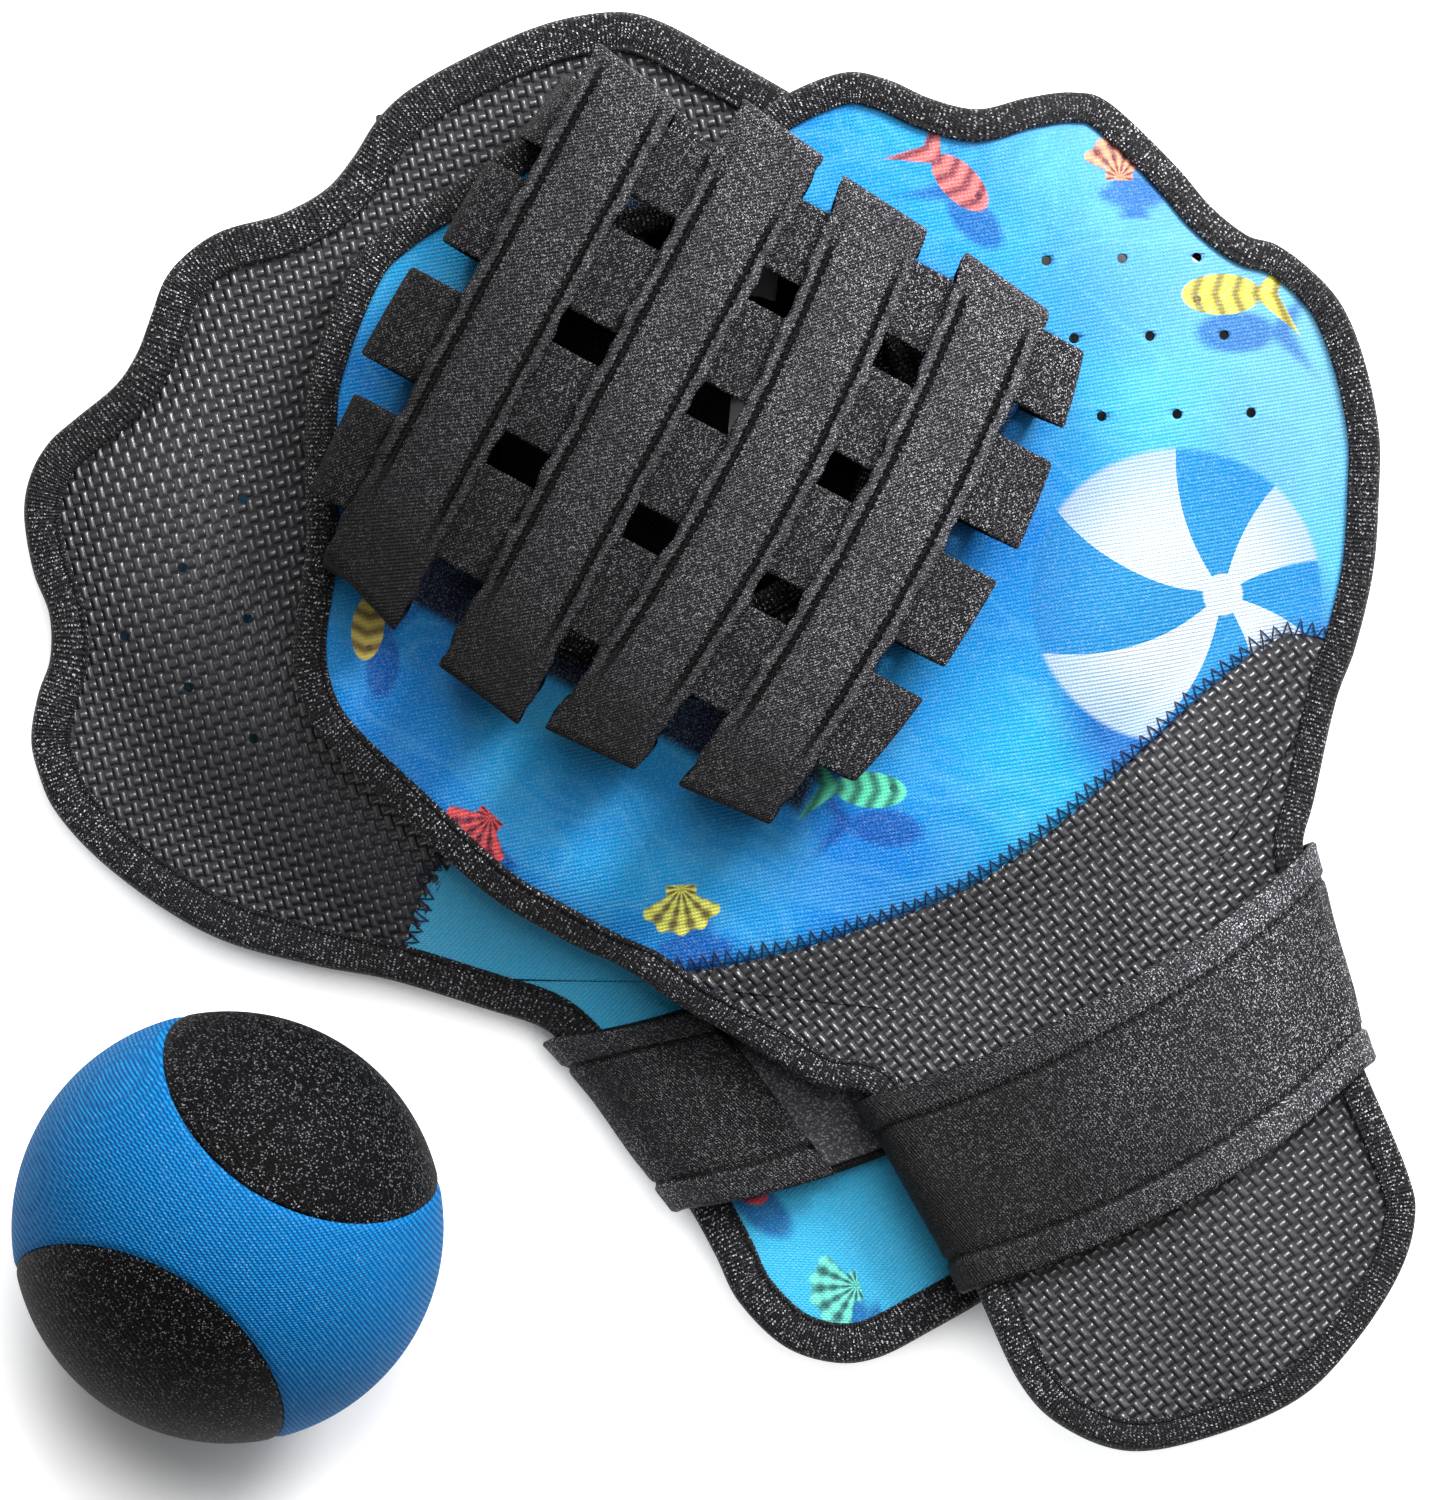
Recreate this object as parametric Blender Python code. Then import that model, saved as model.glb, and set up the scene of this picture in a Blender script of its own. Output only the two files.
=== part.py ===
"""Water ball and mitts set: two scalloped neoprene catching mitts and a cloth-covered ball.

Both mitts are cut alike and mirrored. Face A of a mitt is the printed side, with a raised
lattice pocket of eight straps; face B is the black grip side. The front mitt lies face A up
on the rear mitt, which lies face B up on its own lattice.

The plan is drawn in millimetres, X to the right and Y up, as the set is seen from above.
A mitt is first worked out flat as (x, y, level), where level is the height above the middle
of the neoprene towards face A, and is then laid over the height field that it rests in.
"""

import math

import bmesh
import bpy
import numpy as np
from mathutils import Matrix

MM = 0.001
COLLECTION = "water_ball_and_mitts_set"

# Cloth and neoprene
NEOPRENE = 3.5  # thickness of the hand and wrist panels
TAPE = 1.0  # thickness of the binding tape
SEAT_GAP = 0.3  # clearance between pieces that touch
BINDING_ON_A = 7.0  # width of the edge binding on face A
BINDING_ON_B = 8.75  # width of the edge binding on face B
NOSE_FLAT = 1.8  # flat height at the outer edge of the binding
SLOT_GAP = 0.8  # clearance of a panel's face inside its binding
SEAM_GAP = 0.7  # gap where the hand and wrist panels butt together

# Pocket
MOUTH_RADIUS = 45.5
MOUTH_BINDING = 6.0  # width of the mouth binding
STRAP = 2.5  # thickness of the lattice straps
LONG_WIDTH = 20.6
FOOT = 4.5  # length of the strap end that lies on the panel
FOLD = 1.8  # how far the fold of a strap end is rounded
RIDGE = 1.0  # height of the rolled ridges on the long straps
RIDGE_IN = 2.4  # inner edge of a ridge from the edge of its strap
GROOVE = 0.9  # depth of the stitched groove beside a ridge
GROOVE_WIDTH = 1.5
GROOVES_FROM_TOP = 6.5  # where the grooves start below the fingertip end of a strap
GROOVES_FROM_BASE = 19.0  # where they stop above the wrist end
LONG_FOOT = 59.0  # distance of the long straps' feet from the pocket centre
CROSS_FOOT = 61.0  # distance of the cross straps' feet from the pocket centre
LONG_RUN = (-44.0, 50.0)  # the straight middle of a long strap, wrist end to tips
CROSS_SAG = 0.2  # how far a cross strap sags from its middle to its ends
CROSS_RUN = (-48.0, 48.0)

# Each long strap: middle across the pocket, bow, then the two edges' reach at the
# fingertip end and at the wrist end.
LONG_STRAPS = (
    (-45.8, 0.0, 65.0, 61.5, 56.3, 63.8),
    (-14.0, 0.0, 69.2, 66.3, 65.8, 69.0),
    (16.6, 4.0, 64.8, 62.9, 66.9, 65.6),
    (46.3, 4.0, 62.7, 59.8, 64.0, 62.1),
)
# Each cross strap: middle along the pocket, width, then the two edges' reach on the
# thumb side and on the little finger side.
CROSS_STRAPS = (
    (47.7, 16.2, 57.5, 63.5, 63.5, 67.7),
    (22.6, 19.4, 67.5, 68.5, 69.0, 71.5),
    (-5.3, 21.0, 72.0, 72.7, 70.8, 69.4),
    (-34.7, 22.3, 69.5, 68.0, 68.7, 64.5),
)

# Wrist band
BAND = 1.4  # thickness of the stretch band
BAND_CLEARANCE = 0.8  # over the binding's faces
BAND_SIDE = 1.6  # past the binding's outer edge
BAND_BEND = 1.5  # where the band starts to turn round the edge
SIDE_HALF = 2.0  # half the height of the band's turn round the edge
BAND_BOW = 6.0  # how far the band's edges bow towards the wrist end
TAIL = 31.0  # length of the band's end on face B
TAIL_LIES = 8.0  # where the tail has come down on the hook patch
INNER_STOPS = 10.0  # how far the inner layer stops short of the edge
PATCH = 0.8  # thickness of the loop and hook patches
LOOP_PATCH = (12.0, 75.0)  # from the little finger edge
HOOK_PATCH = (14.0, 29.0)
PATCH_MARGIN = 2.5  # bare margin of the band beside a patch

# Vent holes
VENT_RADIUS = 1.05
VENT_ROWS = 3

# Ball
BALL_RADIUS = 45.0
COVER = 1.2
CORE_CLEARANCE = 1.2
COVER_SEAM = 0.3
TIP_PULL = 2.0  # how many seams' widths a cover's tips stay off the seam
COVER_WAIST = 0.26  # half-width of a cover's waist, as a share of the ball's radius
BALL_AT = (-101.5, -99.4)
COVER_TURN = 57.0  # direction of the blue cover's waist, in degrees

# Lie of the mitts
REAR_POCKET = 18.0  # height of the rear lattice, pressed under both mitts
FRONT_POCKET = 24.0
FLAT_RADIUS = 88.0  # round the pocket centre the mitt lies level
DROOP_ENDS = 136.0  # distance from the pocket centre at which the droop ends
STACK = 6.6  # least distance between the two mitts
STACK_AT_BAND = 14.5  # the same where the front mitt crosses the rear band
STACK_BLEND = 3.0  # softness of the change from lying free to lying on the rear mitt
BAND_RAMP = 23.0  # distance before the rear band over which the front mitt rises
FREE_PAST = 2.0  # distance past the rear mitt's right side where the front one comes free
FREE_OVER = 45.0  # distance over which it comes free
ARCH_WIDTH = 38.0  # reach of the arch of the wrist to each side of its crown
ARCH_STARTS = -20.0  # along the wrist from the start of its axis
ARCH_RISE = 70.0  # distance over which the arch rises

# Plan outlines, from the thumb side of the seam round the fingertips to the other side
FRONT = {
    "name": "front",
    "face_a_up": True,
    "pocket": (-5.2, 63.5),
    "pocket_turn": -28.3,
    "hand": (
        (-15.6, -47.9), (-32.7, -38.3), (-46.7, -30.0), (-63.1, -15.6), (-80.8, 1.5),
        (-87.0, 13.0), (-88.2, 24.0), (-85.8, 42.3), (-86.0, 61.9), (-84.8, 79.4),
        (-76.0, 101.7), (-67.3, 111.0), (-55.6, 118.5), (-46.9, 124.0), (-38.5, 130.3),
        (-28.5, 136.3), (-17.3, 138.1), (-8.0, 134.3), (-1.8, 127.8), (3.0, 126.0),
        (11.5, 135.4), (26.0, 141.9), (35.6, 140.8), (45.4, 136.5), (55.0, 134.2),
        (64.8, 136.5), (74.4, 137.9), (82.3, 135.8), (95.8, 123.3), (103.5, 114.6),
        (111.3, 108.8), (118.1, 106.9), (125.8, 101.9), (132.7, 94.2), (137.5, 82.5),
        (140.6, 67.3), (140.6, 54.4), (139.4, 38.0), (135.6, 21.7),
    ),
    "wrist": (
        (131.5, 10.4), (126.7, -10.4), (124.0, -20.8), (126.9, -31.3), (131.3, -47.9),
        (135.2, -62.5), (138.2, -70.0), (146.3, -89.2), (147.9, -98.8), (144.4, -110.6),
        (135.0, -124.8), (123.1, -136.5), (105.4, -144.2), (87.7, -147.5), (73.5, -142.5),
        (64.0, -132.9), (54.6, -112.9), (47.9, -100.0), (39.6, -85.4), (34.4, -76.0),
        (30.3, -72.0), (22.0, -70.8), (9.2, -63.3), (-5.2, -54.8),
    ),
    "seam": (
        (-15.6, -47.9), (6.3, -44.0), (27.1, -38.3), (56.0, -26.5), (84.4, -4.6),
        (105.4, 14.4), (119.6, 24.2), (135.6, 21.7),
    ),
    "band": ((31.3, -71.9), (54.6, -112.9), (124.0, -20.8), (137.3, -67.9)),
    "vents": ((69.4, 102.5), (16.0, 0.6), (5.8, -16.3)),
    "wrist_axis": ((60.0, -12.0), (115.0, -143.0)),
    "arch": 12.0,
    "low": 7.2,  # height that the mitt droops to
}
REAR = {
    "name": "rear",
    "face_a_up": False,
    "pocket": (-12.6, 73.2),
    "pocket_turn": 85.2,
    "hand": (
        (54.0, 33.3), (56.0, 56.3), (55.5, 75.0), (52.5, 93.0), (45.8, 110.5),
        (34.4, 125.5), (18.0, 137.0), (1.0, 146.7), (-11.3, 153.3), (-20.8, 155.4),
        (-34.2, 153.3), (-48.5, 147.7), (-62.9, 140.0), (-70.6, 133.3), (-76.3, 124.6),
        (-82.1, 117.9), (-91.7, 112.7), (-103.1, 109.4), (-110.6, 104.6), (-115.4, 99.0),
        (-118.3, 91.3), (-121.3, 83.5), (-126.0, 76.9), (-134.6, 70.2), (-140.4, 65.4),
        (-144.6, 58.8), (-146.3, 50.0), (-144.4, 37.9), (-141.0, 28.8), (-140.8, 19.4),
        (-143.3, 11.9), (-144.8, 2.7), (-143.3, -4.8), (-139.6, -13.1), (-130.4, -23.3),
        (-116.5, -33.8), (-102.5, -41.0), (-84.0, -45.8), (-68.1, -48.8),
    ),
    "wrist": (
        (-48.3, -54.8), (-37.5, -58.3), (-31.8, -62.6), (-26.0, -69.8), (-17.3, -81.3),
        (-9.4, -91.7), (-5.0, -97.5), (0.2, -106.9), (5.0, -116.5), (14.4, -125.8),
        (25.0, -129.4), (34.6, -128.3), (46.3, -122.3), (58.0, -115.5), (70.0, -106.5),
        (79.5, -93.5), (82.0, -78.0), (77.6, -61.5), (71.0, -44.8), (63.0, -27.1),
        (57.5, -10.4), (54.8, 10.4),
    ),
    "seam": (
        (54.0, 33.3), (44.0, 25.0), (29.0, 8.0), (4.0, -8.0), (-34.0, -16.0),
        (-57.5, -24.0), (-68.1, -48.8),
    ),
    "band": ((60.5, -19.0), (77.6, -61.5), (-33.1, -61.3), (-5.6, -96.3)),
    "vents": ((-124.8, 24.0), (12.7, 14.4), (13.8, -10.8)),
    "wrist_axis": ((8.0, -22.0), (40.0, -128.0)),
    "arch": 6.0,
    "low": 6.5,
}

# Fineness of the meshes, and where the panels' inner rings of points run
HAND_STATIONS = 48
WRIST_STATIONS = 25
SEAM_STATIONS = 12
SPAN_STEPS = 8
MOUTH_SIDES = 28
WRIST_RINGS = (0.7, 0.42, 0.16)  # shares of the way from the middle to the edge
KEEP_BEARING = 0.7  # how much of its own bearing from the pocket a point keeps at the mouth
LEVEL_MARGIN = 4.0  # least distance of the ring round the level part from the edge
BAND_ROWS = 4
LAYER_STEP = 10.0  # distance between the bends of the layers on face B
LOBE_STEPS = 24
LOBE_RIBS = 8

HALF = NEOPRENE / 2
BINDING_SLOT = HALF + SLOT_GAP  # level of the binding's inner faces
BINDING_TOP = BINDING_SLOT + TAPE
ON_BINDING = BINDING_TOP + SEAT_GAP
ON_PANEL = HALF + SEAT_GAP
PANEL_INSET = TAPE + SEAT_GAP  # the panel's edge from the binding's outer edge
BAND_LEVEL = BINDING_TOP + BAND_CLEARANCE
PATCH_LEVEL = BAND_LEVEL + BAND + SEAT_GAP
HOOK_LEVEL = PATCH_LEVEL + PATCH + SEAT_GAP
TAIL_LEVEL = HOOK_LEVEL + PATCH + SEAT_GAP
REAR_HEIGHT = HALF + REAR_POCKET + RIDGE
FRONT_HEIGHT = REAR_HEIGHT + STACK + STACK_BLEND


def material(name, colour, roughness):
    made = bpy.data.materials.new(name)
    made.use_nodes = True
    shader = made.node_tree.nodes["Principled BSDF"]
    shader.inputs["Base Color"].default_value = (*colour, 1.0)
    shader.inputs["Roughness"].default_value = roughness
    shader.inputs["Metallic"].default_value = 0.0
    return made


def add_object(name, mesh, looks, parent):
    """Puts a mesh into the set's collection, smooth where it is round."""
    mesh.shade_smooth()
    mesh.set_sharp_from_angle(angle=math.radians(35))
    mesh.materials.append(looks)
    made = bpy.data.objects.new(name, mesh)
    bpy.data.collections[COLLECTION].objects.link(made)
    made.parent = parent
    return made


def mesh_of(name, points, faces):
    """A mesh from points in millimetres, its faces turned outwards."""
    shape = bmesh.new()
    corners = [shape.verts.new(point) for point in np.asarray(points) * MM]
    for face in faces:
        shape.faces.new([corners[index] for index in face])
    bmesh.ops.recalc_face_normals(shape, faces=shape.faces)
    mesh = bpy.data.meshes.new(name)
    shape.to_mesh(mesh)
    shape.free()
    return mesh


def strip(rows, columns, first=0, closed=False):
    """Quads between neighbouring rows of points that are stored row after row."""
    across = columns if closed else columns - 1
    return [
        (
            first + row * columns + column,
            first + row * columns + (column + 1) % columns,
            first + (row + 1) * columns + (column + 1) % columns,
            first + (row + 1) * columns + column,
        )
        for row in range(rows - 1)
        for column in range(across)
    ]


def loft(rings, closed=False):
    """Faces along rings of points (ring, point, xyz), capped at both ends unless closed."""
    count, around = rings.shape[:2]
    faces = strip(count, around, closed=True)
    last = (count - 1) * around
    if closed:
        for point in range(around):
            beside = (point + 1) % around
            faces.append((last + point, last + beside, beside, point))
    else:
        faces.append(tuple(range(around)))
        faces.append(tuple(last + point for point in reversed(range(around))))
    return rings.reshape(-1, 3), faces


def ease(value):
    """Rises smoothly from 0 to 1 as the value does."""
    value = np.clip(value, 0.0, 1.0)
    return value * value * (3 - 2 * value)


def soft_excess(value, softness):
    """The part of a value above zero, rounded over the softness."""
    rounded = (value + softness) ** 2 / (4 * softness)
    return np.where(value < -softness, 0.0, np.where(value > softness, value, rounded))


def arch(mitt, x, y):
    """The crown of the wrist: a ridge along its axis that starts at the seam."""
    start, end = (np.array(point) for point in mitt["wrist_axis"])
    along = (end - start) / np.linalg.norm(end - start)
    ahead = (x - start[0]) * along[0] + (y - start[1]) * along[1]
    aside = (x - start[0]) * along[1] - (y - start[1]) * along[0]
    rise = ease((ahead - ARCH_STARTS) / ARCH_RISE)
    return mitt["arch"] * rise * np.exp(-((aside / ARCH_WIDTH) ** 2))


def droop(mitt, x, y):
    """0 round the pocket, 1 where the mitt has come down to its lowest."""
    reach = np.hypot(x - mitt["pocket"][0], y - mitt["pocket"][1])
    return ease((reach - FLAT_RADIUS) / (DROOP_ENDS - FLAT_RADIUS))


def rear_height(x, y):
    return REAR_HEIGHT - (REAR_HEIGHT - REAR["low"]) * droop(REAR, x, y) + arch(REAR, x, y)


def front_height(x, y):
    """The front mitt droops by itself, lifted where the rear mitt lies under it."""
    fall = (FRONT_HEIGHT - FRONT["low"]) * droop(FRONT, x, y)
    free = FRONT_HEIGHT - fall + arch(FRONT, x, y)
    thumb, little = np.array(REAR["band"][0]), np.array(REAR["band"][2])
    edge = (thumb - little) / np.linalg.norm(thumb - little)
    beyond_band = (x - little[0]) * edge[1] - (y - little[1]) * edge[0]
    stack = STACK + (STACK_AT_BAND - STACK) * ease((beyond_band + BAND_RAMP) / BAND_RAMP)
    lift = soft_excess(rear_height(x, y) + stack - free, STACK_BLEND)
    comes_free = max(point[0] for point in REAR["wrist"]) + FREE_PAST
    return free + lift * (1 - ease((x - comes_free) / FREE_OVER))


def lay(mitt, plan, level):
    """Takes plan points and levels over the height field, along its normals."""
    plan = np.asarray(plan, float)
    height = front_height if mitt["face_a_up"] else rear_height
    x, y = plan[..., 0], plan[..., 1]
    step = 0.5
    slope_x = (height(x + step, y) - height(x - step, y)) / (2 * step)
    slope_y = (height(x, y + step) - height(x, y - step)) / (2 * step)
    normal = np.stack([-slope_x, -slope_y, np.ones_like(x)], axis=-1)
    normal /= np.linalg.norm(normal, axis=-1, keepdims=True)
    side = 1.0 if mitt["face_a_up"] else -1.0
    level = np.broadcast_to(level, x.shape)[..., None]
    return np.stack([x, y, height(x, y)], axis=-1) + side * level * normal


def spline(points, closed):
    """Catmull-Rom curve through the points, SPAN_STEPS to a span."""
    points = np.array(points, float)
    count = len(points)
    if closed:
        before, start, end, after = (np.roll(points, 1 - turn, axis=0) for turn in range(4))
        spans = count
    else:
        first = 2 * points[0] - points[1]
        last = 2 * points[-1] - points[-2]
        padded = np.vstack([first, points, last])
        before, start, end, after = (padded[turn : count - 1 + turn] for turn in range(4))
        spans = count - 1
    share = (np.arange(SPAN_STEPS) / SPAN_STEPS)[None, :, None]
    before, start, end, after = (part[:spans, None] for part in (before, start, end, after))
    curve = 0.5 * (
        2 * start
        + (end - before) * share
        + (2 * before - 5 * start + 4 * end - after) * share**2
        + (3 * start - before - 3 * end + after) * share**3
    )
    curve = curve.reshape(-1, 2)
    return curve if closed else np.vstack([curve, points[-1]])


def even(curve, count):
    """The curve at count + 1 points an equal way apart."""
    steps = np.linalg.norm(np.diff(curve, axis=0), axis=1)
    along = np.concatenate([[0.0], np.cumsum(steps)])
    wanted = np.linspace(0.0, along[-1], count + 1)
    return np.stack([np.interp(wanted, along, curve[:, axis]) for axis in range(2)], axis=1)


def inset(outline, distances):
    """A closed outline with each of its edges moved inwards by its own distance."""
    after = np.roll(outline, -1, axis=0)
    edges = after - outline
    turned = np.sum(outline[:, 0] * after[:, 1] - after[:, 0] * outline[:, 1])
    normals = np.stack([-edges[:, 1], edges[:, 0]], axis=1) * np.sign(turned)
    normals /= np.linalg.norm(normals, axis=1, keepdims=True)
    distances = np.broadcast_to(distances, len(outline)).astype(float)
    ahead, behind = normals, np.roll(normals, 1, axis=0)
    far_ahead, far_behind = distances, np.roll(distances, 1)
    cross = behind[:, 0] * ahead[:, 1] - behind[:, 1] * ahead[:, 0]
    straight = np.abs(cross) < 0.02
    cross = np.where(straight, 1.0, cross)
    corner = np.stack(
        [
            (far_behind * ahead[:, 1] - far_ahead * behind[:, 1]) / cross,
            (far_ahead * behind[:, 0] - far_behind * ahead[:, 0]) / cross,
        ],
        axis=1,
    )
    plain = (ahead + behind) / 2 * far_ahead[:, None]
    return outline + np.where(straight[:, None], plain, corner)


class Plan:
    """The flat plan of one mitt: its outline, its seam and the panels' boundaries."""

    def __init__(self, mitt):
        whole = spline(mitt["hand"] + mitt["wrist"], closed=True)
        turn = (len(mitt["hand"]) - 1) * SPAN_STEPS
        self.hand = even(whole[: turn + 1], HAND_STATIONS)
        self.wrist = even(np.vstack([whole[turn:], whole[:1]]), WRIST_STATIONS)
        self.outline = np.vstack([self.hand[:-1], self.wrist[:-1]])
        self.seam = even(spline(mitt["seam"], closed=False), SEAM_STATIONS)

    def hand_boundary(self):
        """The hand arc, then the seam back to its start, with the edges' insets."""
        points = np.vstack([self.hand[:-1], self.seam[::-1][:-1]])
        return points, np.repeat([PANEL_INSET, SEAM_GAP / 2], [HAND_STATIONS, SEAM_STATIONS])

    def wrist_boundary(self):
        """The wrist arc, then the seam back to its start, with the edges' insets."""
        points = np.vstack([self.wrist[:-1], self.seam[:-1]])
        return points, np.repeat([PANEL_INSET, SEAM_GAP / 2], [WRIST_STATIONS, SEAM_STATIONS])


def lattice_axes(mitt):
    """Unit vectors across the pocket, to the little finger side, and along it, to the tips."""
    turn = math.radians(mitt["pocket_turn"])
    if mitt["face_a_up"]:
        across = np.array([math.cos(turn), math.sin(turn)])
        return across, np.array([-across[1], across[0]])
    across = -np.array([math.cos(turn), math.sin(turn)])
    return across, np.array([across[1], -across[0]])


def in_lattice(mitt, across, along):
    """Plan points from distances across and along the pocket."""
    right, up = lattice_axes(mitt)
    across, along = np.broadcast_arrays(across, along)
    return np.array(mitt["pocket"]) + across[..., None] * right + along[..., None] * up


def rings_to_mouth(mitt, edge, shelf):
    """Plan rings of the hand panel, from its edge inwards to the pocket mouth."""
    centre = np.array(mitt["pocket"])
    bearing = np.unwrap(np.arctan2(*(shelf - centre).T[::-1]))
    turn = np.sign(bearing[-1] - bearing[0])
    place = np.arange(len(edge)) - (len(edge) - 1) / 2
    steady = bearing.mean() + turn * place * 2 * math.pi / len(edge)
    aim = KEEP_BEARING * bearing + (1 - KEEP_BEARING) * steady
    mouth = centre + (MOUTH_RADIUS + PANEL_INSET) * np.stack([np.cos(aim), np.sin(aim)], axis=1)
    reach = np.linalg.norm(shelf - centre, axis=1)
    hole = MOUTH_RADIUS + PANEL_INSET
    level_share = (np.minimum(FLAT_RADIUS, reach - LEVEL_MARGIN) - hole) / (reach - hole)
    level = mouth + (shelf - mouth) * level_share[:, None]
    return np.stack([edge, shelf, (shelf + level) / 2, level, (level + mouth) / 2, mouth])


def rings_to_middle(edge, shelf):
    """Plan rings of the wrist panel, from its edge inwards round its middle."""
    middle = shelf.mean(axis=0)
    return np.stack([edge, shelf] + [middle + (shelf - middle) * share for share in WRIST_RINGS])


def hand_panel(mitt, plan, looks, parent):
    """A scalloped sheet of neoprene with a round mouth and vent holes."""
    boundary, insets = plan.hand_boundary()
    edge = inset(boundary, insets)
    shelf = inset(boundary, BINDING_ON_B + SEAT_GAP)
    rings = rings_to_mouth(mitt, edge, shelf)
    face_a, face_b = lay(mitt, rings, HALF), lay(mitt, rings, -HALF)
    mesh = mesh_of("hand_panel", *loft(np.concatenate([face_a, face_b[::-1]]), closed=True))
    panel = add_object(mitt["name"] + "_hand_panel", mesh, looks["print"], parent)
    cut = panel.modifiers.new("vents", "BOOLEAN")
    cut.operation = "DIFFERENCE"
    cut.object = vent_cutter(mitt, parent)


def vent_cutter(mitt, parent):
    """A block of round pins, one through each vent hole."""
    shape = bmesh.new()
    corner, row_step, column_step = (np.array(part) for part in mitt["vents"])
    height = front_height if mitt["face_a_up"] else rear_height
    for row in range(VENT_ROWS):
        for column in range(VENT_ROWS):
            x, y = corner + row * row_step + column * column_step
            middle = (x * MM, y * MM, float(height(x, y)) * MM)
            bmesh.ops.create_cone(
                shape,
                cap_ends=True,
                segments=8,
                radius1=VENT_RADIUS * MM,
                radius2=VENT_RADIUS * MM,
                depth=3 * NEOPRENE * MM,
                matrix=Matrix.Translation(middle),
            )
    mesh = bpy.data.meshes.new("vent_pins")
    shape.to_mesh(mesh)
    shape.free()
    cutter = bpy.data.objects.new(mitt["name"] + "_vent_pins", mesh)
    bpy.data.collections["cutters"].objects.link(cutter)
    cutter.parent = parent
    cutter.hide_render = True
    cutter.display_type = "WIRE"
    return cutter


def wrist_panel(mitt, plan, looks, parent):
    """The wrist end of the sheet, butted against the hand panel along the seam."""
    boundary, insets = plan.wrist_boundary()
    edge = inset(boundary, insets)
    shelf = inset(boundary, BINDING_ON_B + SEAT_GAP)
    rings = rings_to_middle(edge, shelf)
    face_a, face_b = lay(mitt, rings, HALF), lay(mitt, rings, -HALF)
    mesh = mesh_of("wrist_panel", *loft(np.concatenate([face_a[::-1], face_b])))
    add_object(mitt["name"] + "_wrist_panel", mesh, looks["embossed"], parent)


def binding_profile(on_a, on_b):
    """Half-round tape folded over an edge: (inset, level) points of its section."""
    nose = NOSE_FLAT / 2
    return (
        (on_a, BINDING_SLOT), (on_a - TAPE, BINDING_TOP), (1.6 * TAPE, BINDING_TOP), (0.0, nose),
        (0.0, -nose), (1.6 * TAPE, -BINDING_TOP), (on_b - TAPE, -BINDING_TOP), (on_b, -BINDING_SLOT),
        (TAPE, -BINDING_SLOT), (TAPE, BINDING_SLOT),
    )


def edge_binding(mitt, plan, looks, parent):
    """The tape folded over the whole outline."""
    profile = binding_profile(BINDING_ON_A, BINDING_ON_B)
    rings = np.stack([lay(mitt, inset(plan.outline, depth), level) for depth, level in profile], axis=1)
    mesh = mesh_of("edge_binding", *loft(rings, closed=True))
    add_object(mitt["name"] + "_edge_binding", mesh, looks["binding"], parent)


def mouth_binding(mitt, looks, parent):
    """The tape folded over the edge of the pocket mouth."""
    bearing = np.arange(MOUTH_SIDES) * 2 * math.pi / MOUTH_SIDES
    round_the_mouth = np.stack([np.cos(bearing), np.sin(bearing)], axis=1)
    profile = binding_profile(MOUTH_BINDING, MOUTH_BINDING)
    rings = np.stack(
        [
            lay(mitt, np.array(mitt["pocket"]) + (MOUTH_RADIUS + depth) * round_the_mouth, level)
            for depth, level in profile
        ],
        axis=1,
    )
    mesh = mesh_of("mouth_binding", *loft(rings, closed=True))
    add_object(mitt["name"] + "_mouth_binding", mesh, looks["binding"], parent)


def strap_path(ends, feet, seats, top, run, sag=0.0):
    """The outer side of a strap, foot to foot, as rows of (reach, level).

    ends and feet are the reaches of the two folds and of the two feet, seats the levels
    that the feet stand on, top the level of the strap, run the reaches of the points
    between its folds, and sag how far they fall from the middle to the last.
    """
    path = []
    for sign, end, foot, seat in zip((-1, 1), ends, feet, seats):
        side = [
            (sign * (foot - FOOT), seat),
            (sign * foot, seat),
            (sign * end, top - FOLD),
            (sign * (end - 0.3 * FOLD), top - 0.3 * FOLD),
            (sign * (end - FOLD), top),
        ]
        path.append(side)
    from_middle = np.abs(run - np.mean(run)) / np.ptp(run) * 2
    middle = list(zip(run, top - sag * from_middle**2))
    return np.array(path[0] + middle + path[1][::-1])


def thickened(path, thickness):
    """The inner side of a path of (reach, level), mitred at its corners."""
    steps = np.diff(path, axis=0)
    normals = np.stack([steps[:, 1], -steps[:, 0]], axis=1)
    normals /= np.linalg.norm(normals, axis=1, keepdims=True)
    before = np.vstack([normals[:1], normals])
    after = np.vstack([normals, normals[-1:]])
    mitre = (before + after) / (1 + np.sum(before * after, axis=1, keepdims=True))
    return path + mitre * thickness


def strap_rings(path_left, path_right, section, half_width):
    """Rings of a strap between the paths of its two edges.

    section lists (share across, depth) points. Depth 0 is the outer side and 1 the inner
    one, and a negative depth stands above the outer side.
    """
    rings = []
    inner_left, inner_right = thickened(path_left, STRAP), thickened(path_right, STRAP)
    for share, depth in section:
        outer = path_left + (path_right - path_left) * share
        inner = inner_left + (inner_right - inner_left) * share
        depth = np.asarray(depth)[..., None]
        side = outer + (inner - outer) * depth
        across = np.full((len(side), 1), (2 * share - 1) * half_width)
        rings.append(np.hstack([across, side]))
    return np.stack(rings, axis=1)


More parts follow.
